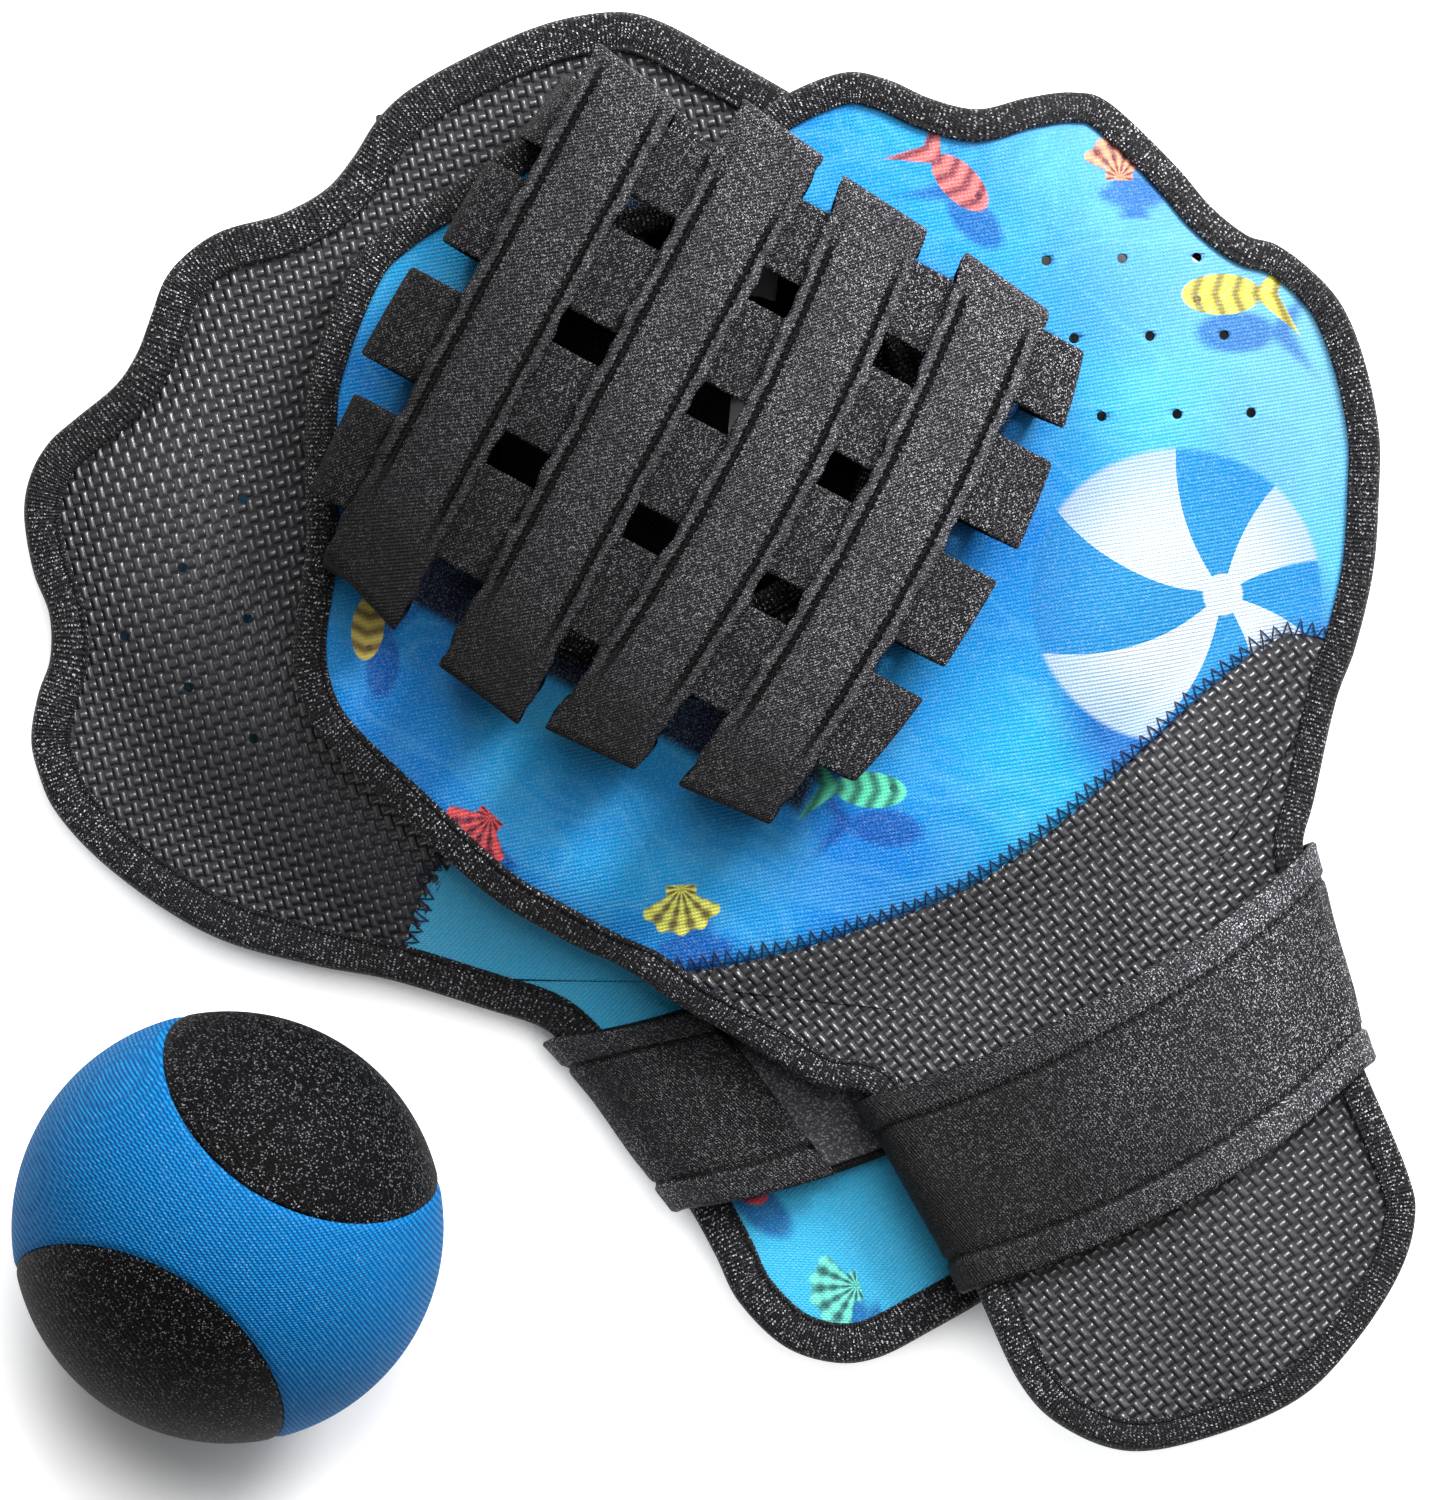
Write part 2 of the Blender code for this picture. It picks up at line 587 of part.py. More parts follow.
def long_strap(mitt, number, looks, parent, pocket):
    """A strap towards the fingertips, with a rolled ridge and a stitched groove each side."""
    middle, bow, tip_left, tip_right, base_left, base_right = LONG_STRAPS[number]
    top = HALF + pocket
    run = np.linspace(*LONG_RUN, 6)
    seat = ON_BINDING if number < 2 else ON_PANEL
    paths = [
        strap_path((base, tip), (LONG_FOOT, LONG_FOOT), (seat, seat), top, run)
        for base, tip in ((base_left, tip_left), (base_right, tip_right))
    ]
    reach = paths[0][:, 0]
    low_limit = GROOVES_FROM_BASE - min(base_left, base_right)
    high_limit = min(tip_left, tip_right) - GROOVES_FROM_TOP
    on_top = (paths[0][:, 1] > top - 0.01).astype(float)
    worked = on_top * (reach > low_limit) * (reach < high_limit)
    ridge_in = RIDGE_IN / LONG_WIDTH
    groove_in = (RIDGE_IN + GROOVE_WIDTH / 2) / LONG_WIDTH
    flat_in = (RIDGE_IN + GROOVE_WIDTH) / LONG_WIDTH
    ridge, groove = -RIDGE / STRAP * worked, GROOVE / STRAP * worked
    flat, under = 0.0 * worked, 1.0 + 0.0 * worked
    section = (
        (0.0, under), (1.0, under), (1.0, flat + 0.2), (1 - 0.4 * ridge_in, ridge),
        (1 - ridge_in, ridge), (1 - groove_in, groove), (1 - flat_in, flat),
        (flat_in, flat), (groove_in, groove), (ridge_in, ridge), (0.4 * ridge_in, ridge), (0.0, flat + 0.2),
    )
    rings = strap_rings(paths[0], paths[1], section, LONG_WIDTH / 2)
    if not mitt["face_a_up"]:
        rings = rings[::-1, ::-1]  # a mirrored strap starts from its other end
    shift = middle - bow * (rings[..., 1] / LONG_FOOT) ** 2
    plan = in_lattice(mitt, rings[..., 0] + shift, rings[..., 1])
    points = lay(mitt, plan, rings[..., 2])
    mesh = mesh_of("long_strap", *loft(points))
    add_object(f"{mitt['name']}_long_strap_{number + 1}", mesh, looks["strap"], parent)


def cross_strap(mitt, number, looks, parent, pocket):
    """A strap across the pocket, under the long ones."""
    middle, width, thumb_top, thumb_base, little_top, little_base = CROSS_STRAPS[number]
    top = HALF + pocket - STRAP - SEAT_GAP
    run = np.linspace(*CROSS_RUN, 5)
    feet, seats = (CROSS_FOOT, CROSS_FOOT), (ON_BINDING, ON_PANEL)
    paths = [
        strap_path((thumb, little), feet, seats, top, run, CROSS_SAG)
        for thumb, little in ((thumb_base, little_base), (thumb_top, little_top))
    ]
    section = ((0.0, 1.0), (1.0, 1.0), (1.0, 0.25), (0.97, 0.0), (0.03, 0.0), (0.0, 0.25))
    rings = strap_rings(paths[0], paths[1], section, width / 2)
    plan = in_lattice(mitt, rings[..., 1], rings[..., 0] + middle)
    points = lay(mitt, plan, rings[..., 2])
    mesh = mesh_of("cross_strap", *loft(points))
    add_object(f"{mitt['name']}_cross_strap_{number + 1}", mesh, looks["cross"], parent)


class BandRows:
    """Rows of the wrist band, each a line from the thumb edge to the little finger edge."""

    def __init__(self, mitt, plan):
        thumb_top, thumb_base, little_top, little_base = (
            self.place_of(plan.wrist, corner) for corner in mitt["band"]
        )
        shares = np.linspace(0.0, 1.0, BAND_ROWS)
        self.thumb = self.at(plan.wrist, thumb_top + (thumb_base - thumb_top) * shares)
        self.little = self.at(plan.wrist, little_top + (little_base - little_top) * shares)
        self.length = np.linalg.norm(self.little - self.thumb, axis=1)
        self.along = (self.little - self.thumb) / self.length[:, None]
        down = self.thumb[-1] - self.thumb[0] + self.little[-1] - self.little[0]
        self.down = down / np.linalg.norm(down)

    @staticmethod
    def distances(curve):
        steps = np.linalg.norm(np.diff(curve, axis=0), axis=1)
        return np.concatenate([[0.0], np.cumsum(steps)])

    def place_of(self, curve, point):
        nearest = np.argmin(np.linalg.norm(curve - np.array(point), axis=1))
        return self.distances(curve)[nearest]

    def at(self, curve, places):
        along = self.distances(curve)
        return np.stack([np.interp(places, along, curve[:, axis]) for axis in range(2)], axis=1)

    def row_points(self, row, from_thumb):
        """Plan points of a row at distances from its thumb end, bowed between its ends."""
        share = np.clip(from_thumb / self.length[row], 0.0, 1.0)
        bow = BAND_BOW * 4 * share * (1 - share)
        line = self.thumb[row] + np.multiply.outer(from_thumb, self.along[row])
        return line + np.multiply.outer(bow, self.down)


def layer_stations(shortest, start, end):
    """Distances from the little finger edge at which the band and its patches are bent."""
    further = np.arange(HOOK_PATCH[1] + LAYER_STEP, shortest - INNER_STOPS, LAYER_STEP)
    stops = {start, end, *LOOP_PATCH, *HOOK_PATCH, *further}
    return np.array(sorted(stop for stop in stops if start <= stop <= end))


def band_route(length, shortest):
    """The band's way round the wrist: distance from the thumb edge, inner and outer level.

    It starts as the inner layer on face B, goes round the thumb edge, over face A and
    round the other edge, and ends as the tail over the inner layer.
    """
    inner, outer = BAND_LEVEL, BAND_LEVEL + BAND
    bend, high_in, high_out = BAND_BEND, SIDE_HALF, SIDE_HALF + BAND / 2
    side_in, side_out = BAND_SIDE, BAND_SIDE + BAND
    layer = length - layer_stations(shortest, INNER_STOPS, length - INNER_STOPS / 2)
    route = [(place, -inner, place, -outer) for place in layer]
    route += [(bend, -inner, bend, -outer), (-side_in, -high_in, -side_out, -high_out)]
    route += [(-side_in, high_in, -side_out, high_out), (bend, inner, bend, outer)]
    route += [(place, inner, place, outer) for place in np.linspace(0.1, 0.9, 8) * length]
    last, past_in, past_out = length - bend, length + side_in, length + side_out
    route += [(last, inner, last, outer), (past_in, high_in, past_out, high_out)]
    route += [(past_in, -high_in, past_out, -high_out), (last, -inner, last + BAND / 2, -outer)]
    tail_in, tail_out = TAIL_LEVEL, TAIL_LEVEL + BAND
    for reach in (TAIL_LIES, *HOOK_PATCH, TAIL):
        route.append((length - reach, -tail_in, length - reach, -tail_out))
    return np.array(route)


def wrist_band(mitt, rows, looks, parent):
    """The stretch band round the wrist panel, with its overlapped end on face B."""
    inner, outer = [], []
    for row in range(BAND_ROWS):
        route = band_route(rows.length[row], rows.length.min())
        inner.append(lay(mitt, rows.row_points(row, route[:, 0]), route[:, 1]))
        outer.append(lay(mitt, rows.row_points(row, route[:, 2]), route[:, 3]))
    rings = np.stack(inner + outer[::-1], axis=1)
    mesh = mesh_of("wrist_band", *loft(rings))
    add_object(mitt["name"] + "_wrist_band", mesh, looks["band"], parent)


def patch(mitt, rows, name, reach, level, looks, parent):
    """A flat fastener strip on face B, between two distances from the little finger edge."""
    near, far = [], []
    for row in range(BAND_ROWS):
        places = rows.length[row] - layer_stations(rows.length.min(), *reach)
        plan = rows.row_points(row, places)
        near.append(lay(mitt, plan, -level))
        far.append(lay(mitt, plan, -level - PATCH))
    for face in (near, far):
        for edge, beside in ((0, 1), (-1, -2)):
            spread = np.linalg.norm(face[edge] - face[beside], axis=1, keepdims=True)
            face[edge] = face[edge] + (face[beside] - face[edge]) * PATCH_MARGIN / spread
    rings = np.stack(far + near[::-1], axis=1)
    mesh = mesh_of(name, *loft(rings))
    add_object(f"{mitt['name']}_{name}", mesh, looks, parent)


def seam_curve(places):
    """The closed seam of a two-piece ball cover on the unit sphere.

    x = a cos t + b cos 3t, y = a sin t - b sin 3t, z = 2 sqrt(ab) sin 2t, with a + b = 1
    and a - b the half-width of a cover's waist.
    """
    a, b = (1 + COVER_WAIST) / 2, (1 - COVER_WAIST) / 2
    return np.stack(
        [
            a * np.cos(places) + b * np.cos(3 * places),
            a * np.sin(places) - b * np.sin(3 * places),
            2 * math.sqrt(a * b) * np.sin(2 * places),
        ],
        axis=-1,
    )


def ball_cover(name, turn_over, looks, parent, radius):
    """One of the two like covers: ribs from seam to seam along its long axis, then walls."""
    places = np.linspace(0.75 * math.pi, 1.75 * math.pi, LOBE_STEPS + 1)[1:-1]
    one_side, other_side = seam_curve(places), seam_curve(-math.pi / 2 - places)
    tips = seam_curve(np.array([0.75 * math.pi, 1.75 * math.pi]))
    middle = one_side + other_side
    middle /= np.linalg.norm(middle, axis=1, keepdims=True)
    half_angle = np.arccos(np.clip(np.sum(one_side * middle, axis=1), -1, 1))
    outward = one_side - middle * np.cos(half_angle)[:, None]
    outward /= np.linalg.norm(outward, axis=1, keepdims=True)
    kept = half_angle - COVER_SEAM / 2 / radius
    shares = np.linspace(-1.0, 1.0, LOBE_RIBS + 1)
    angles = kept[:, None] * shares
    ribs = middle[:, None] * np.cos(angles)[..., None] + outward[:, None] * np.sin(angles)[..., None]
    pulled = ribs[[0, -1], LOBE_RIBS // 2] - tips
    tips = tips + pulled / np.linalg.norm(pulled, axis=1, keepdims=True) * TIP_PULL * COVER_SEAM / radius
    tips /= np.linalg.norm(tips, axis=1, keepdims=True)
    skin = np.vstack([ribs.reshape(-1, 3), tips])
    if turn_over:
        skin = np.stack([skin[:, 1], -skin[:, 0], -skin[:, 2]], axis=1)
    columns = LOBE_RIBS + 1
    count = len(places)
    faces = strip(count, columns)
    first_tip, last_tip = len(skin) - 2, len(skin) - 1
    faces += [(first_tip, column + 1, column) for column in range(LOBE_RIBS)]
    start = (count - 1) * columns
    faces += [(last_tip, start + column, start + column + 1) for column in range(LOBE_RIBS)]
    points = np.vstack([skin * radius, skin * (radius - COVER)])
    below = len(skin)
    both = faces + [tuple(below + corner for corner in reversed(face)) for face in faces]
    rim = [first_tip] + [row * columns for row in range(count)] + [last_tip]
    rim += [row * columns + LOBE_RIBS for row in reversed(range(count))]
    both += [
        (here, there, below + there, below + here) for here, there in zip(rim, rim[1:] + rim[:1])
    ]
    mesh = mesh_of(name, points, both)
    add_object(name, mesh, looks, parent)


def ball(looks, root):
    """A round core in two interlocking covers."""
    holder = bpy.data.objects.new("ball", None)
    bpy.data.collections[COLLECTION].objects.link(holder)
    holder.parent = root
    holder.location = (BALL_AT[0] * MM, BALL_AT[1] * MM, BALL_RADIUS * MM)
    holder.rotation_euler = (0.0, 0.0, math.radians(COVER_TURN - 45.0))
    ball_cover("ball_cover_blue", False, looks["ball_blue"], holder, BALL_RADIUS)
    ball_cover("ball_cover_black", True, looks["ball_black"], holder, BALL_RADIUS)
    shape = bmesh.new()
    core_radius = (BALL_RADIUS - COVER - CORE_CLEARANCE) * MM
    bmesh.ops.create_uvsphere(shape, u_segments=20, v_segments=12, radius=core_radius)
    mesh = bpy.data.meshes.new("ball_core")
    shape.to_mesh(mesh)
    shape.free()
    add_object("ball_core", mesh, looks["core"], holder)


def mitt_parts(mitt, looks, root, pocket):
    """Every piece of one mitt."""
    holder = bpy.data.objects.new(mitt["name"] + "_mitt", None)
    bpy.data.collections[COLLECTION].objects.link(holder)
    holder.parent = root
    plan = Plan(mitt)
    hand_panel(mitt, plan, looks, holder)
    wrist_panel(mitt, plan, looks, holder)
    edge_binding(mitt, plan, looks, holder)
    mouth_binding(mitt, looks, holder)
    for number in range(len(LONG_STRAPS)):
        long_strap(mitt, number, looks, holder, pocket)
    for number in range(len(CROSS_STRAPS)):
        cross_strap(mitt, number, looks, holder, pocket)
    rows = BandRows(mitt, plan)
    wrist_band(mitt, rows, looks, holder)
    patch(mitt, rows, "loop_patch", LOOP_PATCH, PATCH_LEVEL, looks["loop"], holder)
    patch(mitt, rows, "hook_patch", HOOK_PATCH, HOOK_LEVEL, looks["hook"], holder)


def stand_on_base_centre(root):
    """Moves the set so that the middle of its lowest level is the origin."""
    bpy.context.view_layer.update()
    graph = bpy.context.evaluated_depsgraph_get()
    corners = []
    for made in bpy.data.collections[COLLECTION].objects:
        if made.type == "MESH":
            solid = made.evaluated_get(graph)
            mesh = solid.to_mesh()
            points = np.empty(len(mesh.vertices) * 3, np.float32)
            mesh.vertices.foreach_get("co", points)
            solid.to_mesh_clear()
            world = np.array(made.matrix_world)
            points = points.reshape(-1, 3) @ world[:3, :3].T + world[:3, 3]
            corners += [points.min(axis=0), points.max(axis=0)]
    low, high = np.min(corners, axis=0), np.max(corners, axis=0)
    root.location = (-(low[0] + high[0]) / 2, -(low[1] + high[1]) / 2, -low[2])


def main():
    for old in list(bpy.data.objects):
        bpy.data.objects.remove(old, do_unlink=True)
    for name in (COLLECTION, "cutters"):
        collection = bpy.data.collections.new(name)
        bpy.context.scene.collection.children.link(collection)
    looks = {
        "print": material("blue_print_neoprene", (0.02, 0.27, 0.68), 0.75),
        "embossed": material("embossed_black_neoprene", (0.015, 0.015, 0.017), 0.5),
        "binding": material("black_binding_tape", (0.02, 0.02, 0.022), 0.8),
        "strap": material("dark_grey_strap_neoprene", (0.06, 0.055, 0.06), 0.85),
        "cross": material("charcoal_strap_neoprene", (0.045, 0.042, 0.046), 0.85),
        "band": material("black_stretch_band", (0.02, 0.02, 0.023), 0.8),
        "loop": material("black_loop_fastener", (0.03, 0.03, 0.032), 0.95),
        "hook": material("black_hook_fastener", (0.02, 0.02, 0.02), 0.5),
        "ball_blue": material("blue_ball_cloth", (0.01, 0.2, 0.6), 0.7),
        "ball_black": material("black_ball_cloth", (0.02, 0.02, 0.022), 0.75),
        "core": material("white_core_foam", (0.8, 0.8, 0.78), 0.7),
    }
    root = bpy.data.objects.new("set", None)
    bpy.data.collections[COLLECTION].objects.link(root)
    mitt_parts(FRONT, looks, root, FRONT_POCKET)
    mitt_parts(REAR, looks, root, REAR_POCKET)
    ball(looks, root)
    stand_on_base_centre(root)


main()
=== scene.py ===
"""Looks of the water ball and mitts set, seen straight from above.

Lengths are millimetres in the plan of part.py, X to the right and Y up, until a mesh is made.
A mitt is worked out flat as (x, y, level) and laid over the height field that it rests in.
Every piece carries a UV map in millimetres, which its material's patterns follow.
"""

import math

import bmesh
import bpy
import numpy as np
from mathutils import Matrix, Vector


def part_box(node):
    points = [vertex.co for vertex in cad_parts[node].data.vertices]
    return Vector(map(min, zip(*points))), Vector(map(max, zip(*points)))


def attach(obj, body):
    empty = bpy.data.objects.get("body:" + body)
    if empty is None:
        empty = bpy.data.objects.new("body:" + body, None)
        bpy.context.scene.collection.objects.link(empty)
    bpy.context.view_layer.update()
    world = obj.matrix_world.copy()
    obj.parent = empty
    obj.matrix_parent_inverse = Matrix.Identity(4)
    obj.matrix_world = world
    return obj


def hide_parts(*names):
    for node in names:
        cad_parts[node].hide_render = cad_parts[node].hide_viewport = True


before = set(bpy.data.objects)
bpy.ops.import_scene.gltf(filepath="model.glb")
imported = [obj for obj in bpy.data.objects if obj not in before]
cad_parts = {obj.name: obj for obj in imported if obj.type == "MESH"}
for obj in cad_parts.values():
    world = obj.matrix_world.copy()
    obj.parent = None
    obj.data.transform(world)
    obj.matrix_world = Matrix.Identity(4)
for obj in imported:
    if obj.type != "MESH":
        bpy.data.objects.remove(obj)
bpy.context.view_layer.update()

MM = 0.001
TAU = 2 * math.pi

# Sheets, tapes and the pocket mouth
NEOPRENE, TAPE, SEAT_GAP, SEAM_INSET = 3.5, 1.0, 0.3, 0.1
BINDING_ON_A, BINDING_ON_B = 7.0, 8.75
MOUTH_RADIUS, MOUTH_BINDING = 45.5, 6.0
VENT_RADIUS = 1.05
# Half-sizes, across and along the pocket, where the print's painted shade under the lattice fades out
MOUTH_SHADE_FIELD = (55.0, 58.0)

# The lattice
STRAP, LONG_WIDTH, FOOT = 2.5, 20.6, 4.5
RIDGE, GROOVE = 1.0, 0.9
GROOVES_FROM_TOP, GROOVES_FROM_BASE = 6.5, 19.0
LONG_FOOT, CROSS_FOOT = 59.0, 61.0
# Middle, bow, then the reach of the top at the tips and at the wrist, left and right of each
LONG_STRAPS = (
    (-45.8, 0.0, 65.0, 61.5, 56.3, 63.8),
    (-14.0, 0.0, 69.2, 66.3, 65.8, 69.0),
    (16.6, 4.0, 64.8, 62.9, 66.9, 65.6),
    (46.3, 4.0, 62.7, 59.8, 64.0, 62.1),
)
# Middle, width, then the reach of the top on the thumb side and on the other, tip and wrist edge
CROSS_STRAPS = (
    (47.7, 16.2, 57.5, 63.5, 63.5, 67.7),
    (22.6, 19.4, 67.5, 68.5, 69.0, 71.5),
    (-5.3, 21.0, 72.0, 72.7, 70.8, 69.4),
    (-34.7, 22.3, 69.5, 68.0, 68.7, 64.5),
)

# The wrist band and its closure
BAND, BAND_CLEARANCE, BAND_SIDE, SIDE_HALF, BAND_BOW = 1.4, 0.8, 1.6, 2.0, 6.0
TAIL, TAIL_LIES, INNER_STOPS, PATCH = 31.0, 8.0, 10.0, 0.8
LOOP_PATCH, HOOK_PATCH, PATCH_MARGIN = (12.0, 75.0), (14.0, 29.0), 2.5
HEM, BAND_WIDTH, BAND_ROWS = 7.5, 46.0, 72

# The ball
BALL_RADIUS, COVER, COVER_SEAM, COVER_WAIST = 45.0, 1.2, 0.3, 0.26
BALL_AT, COVER_TURN = (-101.5, -99.4), 57.0

# How the mitts lie
REAR_POCKET, FRONT_POCKET = 18.0, 24.0
FLAT_RADIUS, DROOP_ENDS = 88.0, 136.0
STACK, STACK_AT_BAND, STACK_BLEND = 6.6, 14.5, 3.0
BAND_RAMP, FREE_PAST, FREE_OVER = 23.0, 2.0, 45.0
ARCH_WIDTH, ARCH_STARTS, ARCH_RISE = 38.0, -20.0, 70.0

# Levels from the middle of the neoprene
HALF = NEOPRENE / 2
BINDING_SLOT = HALF + 0.8
BINDING_TOP = BINDING_SLOT + TAPE
ON_BINDING, ON_PANEL = BINDING_TOP + SEAT_GAP, HALF + SEAT_GAP
BAND_LEVEL = BINDING_TOP + BAND_CLEARANCE
PATCH_LEVEL = BAND_LEVEL + BAND + SEAT_GAP
HOOK_LEVEL = PATCH_LEVEL + PATCH + SEAT_GAP
TAIL_LEVEL = HOOK_LEVEL + PATCH + SEAT_GAP
REAR_HEIGHT = HALF + REAR_POCKET + RIDGE
FRONT_HEIGHT = REAR_HEIGHT + STACK + STACK_BLEND

# How finely curves and sheets are drawn
SPAN_STEPS = 16
OUTLINE_STEPS, HAND_STEPS, WRIST_STEPS, SEAM_STEPS = 900, 300, 180, 90
HAND_RINGS, WRIST_RINGS, MOUTH_STEPS = 44, 34, 240
COVER_ARCS, COVER_STEPS = 361, 71

# Print, colours and picture
BASKET_PITCH = (2.75, 1.85)
BEACH_BALL_AT = (105.0, 21.0, 31.0)
BLACK, WHITE, SILVER = (0, 0, 0), (255, 255, 255), (236, 236, 242)
PICTURE_HEIGHT = 1500 * 0.20833
CAMERA_HEIGHT, FLOOR_LEVEL = 2.4, -0.0004

FRONT = {
    "name": "front",
    "face_a_up": True,
    "pocket": (-5.2, 63.5),
    "pocket_turn": -28.3,
    "hand": (
        (-15.6, -47.9), (-32.7, -38.3), (-46.7, -30.0), (-63.1, -15.6), (-80.8, 1.5),
        (-87.0, 13.0), (-88.2, 24.0), (-85.8, 42.3), (-86.0, 61.9), (-84.8, 79.4),
        (-76.0, 101.7), (-67.3, 111.0), (-55.6, 118.5), (-46.9, 124.0), (-38.5, 130.3),
        (-28.5, 136.3), (-17.3, 138.1), (-8.0, 134.3), (-1.8, 127.8), (3.0, 126.0),
        (11.5, 135.4), (26.0, 141.9), (35.6, 140.8), (45.4, 136.5), (55.0, 134.2),
        (64.8, 136.5), (74.4, 137.9), (82.3, 135.8), (95.8, 123.3), (103.5, 114.6),
        (111.3, 108.8), (118.1, 106.9), (125.8, 101.9), (132.7, 94.2), (137.5, 82.5),
        (140.6, 67.3), (140.6, 54.4), (139.4, 38.0), (135.6, 21.7),
    ),
    "wrist": (
        (131.5, 10.4), (126.7, -10.4), (124.0, -20.8), (126.9, -31.3), (131.3, -47.9),
        (135.2, -62.5), (138.2, -70.0), (146.3, -89.2), (147.9, -98.8), (144.4, -110.6),
        (135.0, -124.8), (123.1, -136.5), (105.4, -144.2), (87.7, -147.5), (73.5, -142.5),
        (64.0, -132.9), (54.6, -112.9), (47.9, -100.0), (39.6, -85.4), (34.4, -76.0),
        (30.3, -72.0), (22.0, -70.8), (9.2, -63.3), (-5.2, -54.8),
    ),
    "seam": (
        (-15.6, -47.9), (6.3, -44.0), (27.1, -38.3), (56.0, -26.5), (84.4, -4.6),
        (105.4, 14.4), (119.6, 24.2), (135.6, 21.7),
    ),
    "band": ((31.3, -71.9), (54.6, -112.9), (124.0, -20.8), (137.3, -67.9)),
    "vents": ((69.4, 102.5), (16.0, 0.6), (5.8, -16.3)),
    "wrist_axis": ((60.0, -12.0), (115.0, -143.0)),
    "arch": 12.0,
    "low": 7.2,
}
REAR = {
    "name": "rear",
    "face_a_up": False,
    "pocket": (-12.6, 73.2),
    "pocket_turn": 85.2,
    "hand": (
        (54.0, 33.3), (56.0, 56.3), (55.5, 75.0), (52.5, 93.0), (45.8, 110.5),
        (34.4, 125.5), (18.0, 137.0), (1.0, 146.7), (-11.3, 153.3), (-20.8, 155.4),
        (-34.2, 153.3), (-48.5, 147.7), (-62.9, 140.0), (-70.6, 133.3), (-76.3, 124.6),
        (-82.1, 117.9), (-91.7, 112.7), (-103.1, 109.4), (-110.6, 104.6), (-115.4, 99.0),
        (-118.3, 91.3), (-121.3, 83.5), (-126.0, 76.9), (-134.6, 70.2), (-140.4, 65.4),
        (-144.6, 58.8), (-146.3, 50.0), (-144.4, 37.9), (-141.0, 28.8), (-140.8, 19.4),
        (-143.3, 11.9), (-144.8, 2.7), (-143.3, -4.8), (-139.6, -13.1), (-130.4, -23.3),
        (-116.5, -33.8), (-102.5, -41.0), (-84.0, -45.8), (-68.1, -48.8),
    ),
    "wrist": (
        (-48.3, -54.8), (-37.5, -58.3), (-31.8, -62.6), (-26.0, -69.8), (-17.3, -81.3),
        (-9.4, -91.7), (-5.0, -97.5), (0.2, -106.9), (5.0, -116.5), (14.4, -125.8),
        (25.0, -129.4), (34.6, -128.3), (46.3, -122.3), (58.0, -115.5), (70.0, -106.5),
        (79.5, -93.5), (82.0, -78.0), (77.6, -61.5), (71.0, -44.8), (63.0, -27.1),
        (57.5, -10.4), (54.8, 10.4),
    ),
    "seam": (
        (54.0, 33.3), (44.0, 25.0), (29.0, 8.0), (4.0, -8.0), (-34.0, -16.0),
        (-57.5, -24.0), (-68.1, -48.8),
    ),
    "band": ((60.5, -19.0), (77.6, -61.5), (-33.1, -61.3), (-5.6, -96.3)),
    "vents": ((-124.8, 24.0), (12.7, 14.4), (13.8, -10.8)),
    "wrist_axis": ((8.0, -22.0), (40.0, -128.0)),
    "arch": 6.0,
    "low": 6.5,
}

BALL_IN_PLAN = np.array([*BALL_AT, BALL_RADIUS])
SHIFT = np.mean([list(corner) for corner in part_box("ball_core")], axis=0) / MM - BALL_IN_PLAN
BALL_CENTRE = ((BALL_IN_PLAN + SHIFT) * MM).tolist()


# The lie of the mitts: the same height fields as the solids have


def ease(value):
    """Rises smoothly from 0 to 1 as the value does: 3v^2 - 2v^3."""
    value = np.clip(value, 0.0, 1.0)
    return value * value * (3 - 2 * value)


def soft_excess(value, softness):
    """The part of a value above zero, rounded by a parabola over the softness."""
    rounded = (value + softness) ** 2 / (4 * softness)
    return np.where(value < -softness, 0.0, np.where(value > softness, value, rounded))


def unit(vectors):
    """Vectors along the last axis brought to length 1."""
    return vectors / np.linalg.norm(vectors, axis=-1, keepdims=True)


def arch(mitt, x, y):
    """The crown of the wrist: a bell across its axis that rises along it."""
    start, end = (np.array(point) for point in mitt["wrist_axis"])
    along = unit(end - start)
    ahead = (x - start[0]) * along[0] + (y - start[1]) * along[1]
    aside = (x - start[0]) * along[1] - (y - start[1]) * along[0]
    rise = ease((ahead - ARCH_STARTS) / ARCH_RISE)
    return mitt["arch"] * rise * np.exp(-((aside / ARCH_WIDTH) ** 2))


def droop(mitt, x, y):
    """0 round the pocket, 1 where the mitt has come down to its lowest."""
    reach = np.hypot(x - mitt["pocket"][0], y - mitt["pocket"][1])
    return ease((reach - FLAT_RADIUS) / (DROOP_ENDS - FLAT_RADIUS))


def rear_height(x, y):
    return REAR_HEIGHT - (REAR_HEIGHT - REAR["low"]) * droop(REAR, x, y) + arch(REAR, x, y)


def front_height(x, y):
    """The front mitt droops by itself, lifted where the rear mitt lies under it."""
    fall = (FRONT_HEIGHT - FRONT["low"]) * droop(FRONT, x, y)
    free = FRONT_HEIGHT - fall + arch(FRONT, x, y)
    thumb, little = np.array(REAR["band"][0]), np.array(REAR["band"][2])
    edge = unit(thumb - little)
    beyond_band = (x - little[0]) * edge[1] - (y - little[1]) * edge[0]
    stack = STACK + (STACK_AT_BAND - STACK) * ease((beyond_band + BAND_RAMP) / BAND_RAMP)
    lift = soft_excess(rear_height(x, y) + stack - free, STACK_BLEND)
    comes_free = max(point[0] for point in REAR["wrist"]) + FREE_PAST
    return free + lift * (1 - ease((x - comes_free) / FREE_OVER))


def height_field(mitt):
    return front_height if mitt["face_a_up"] else rear_height


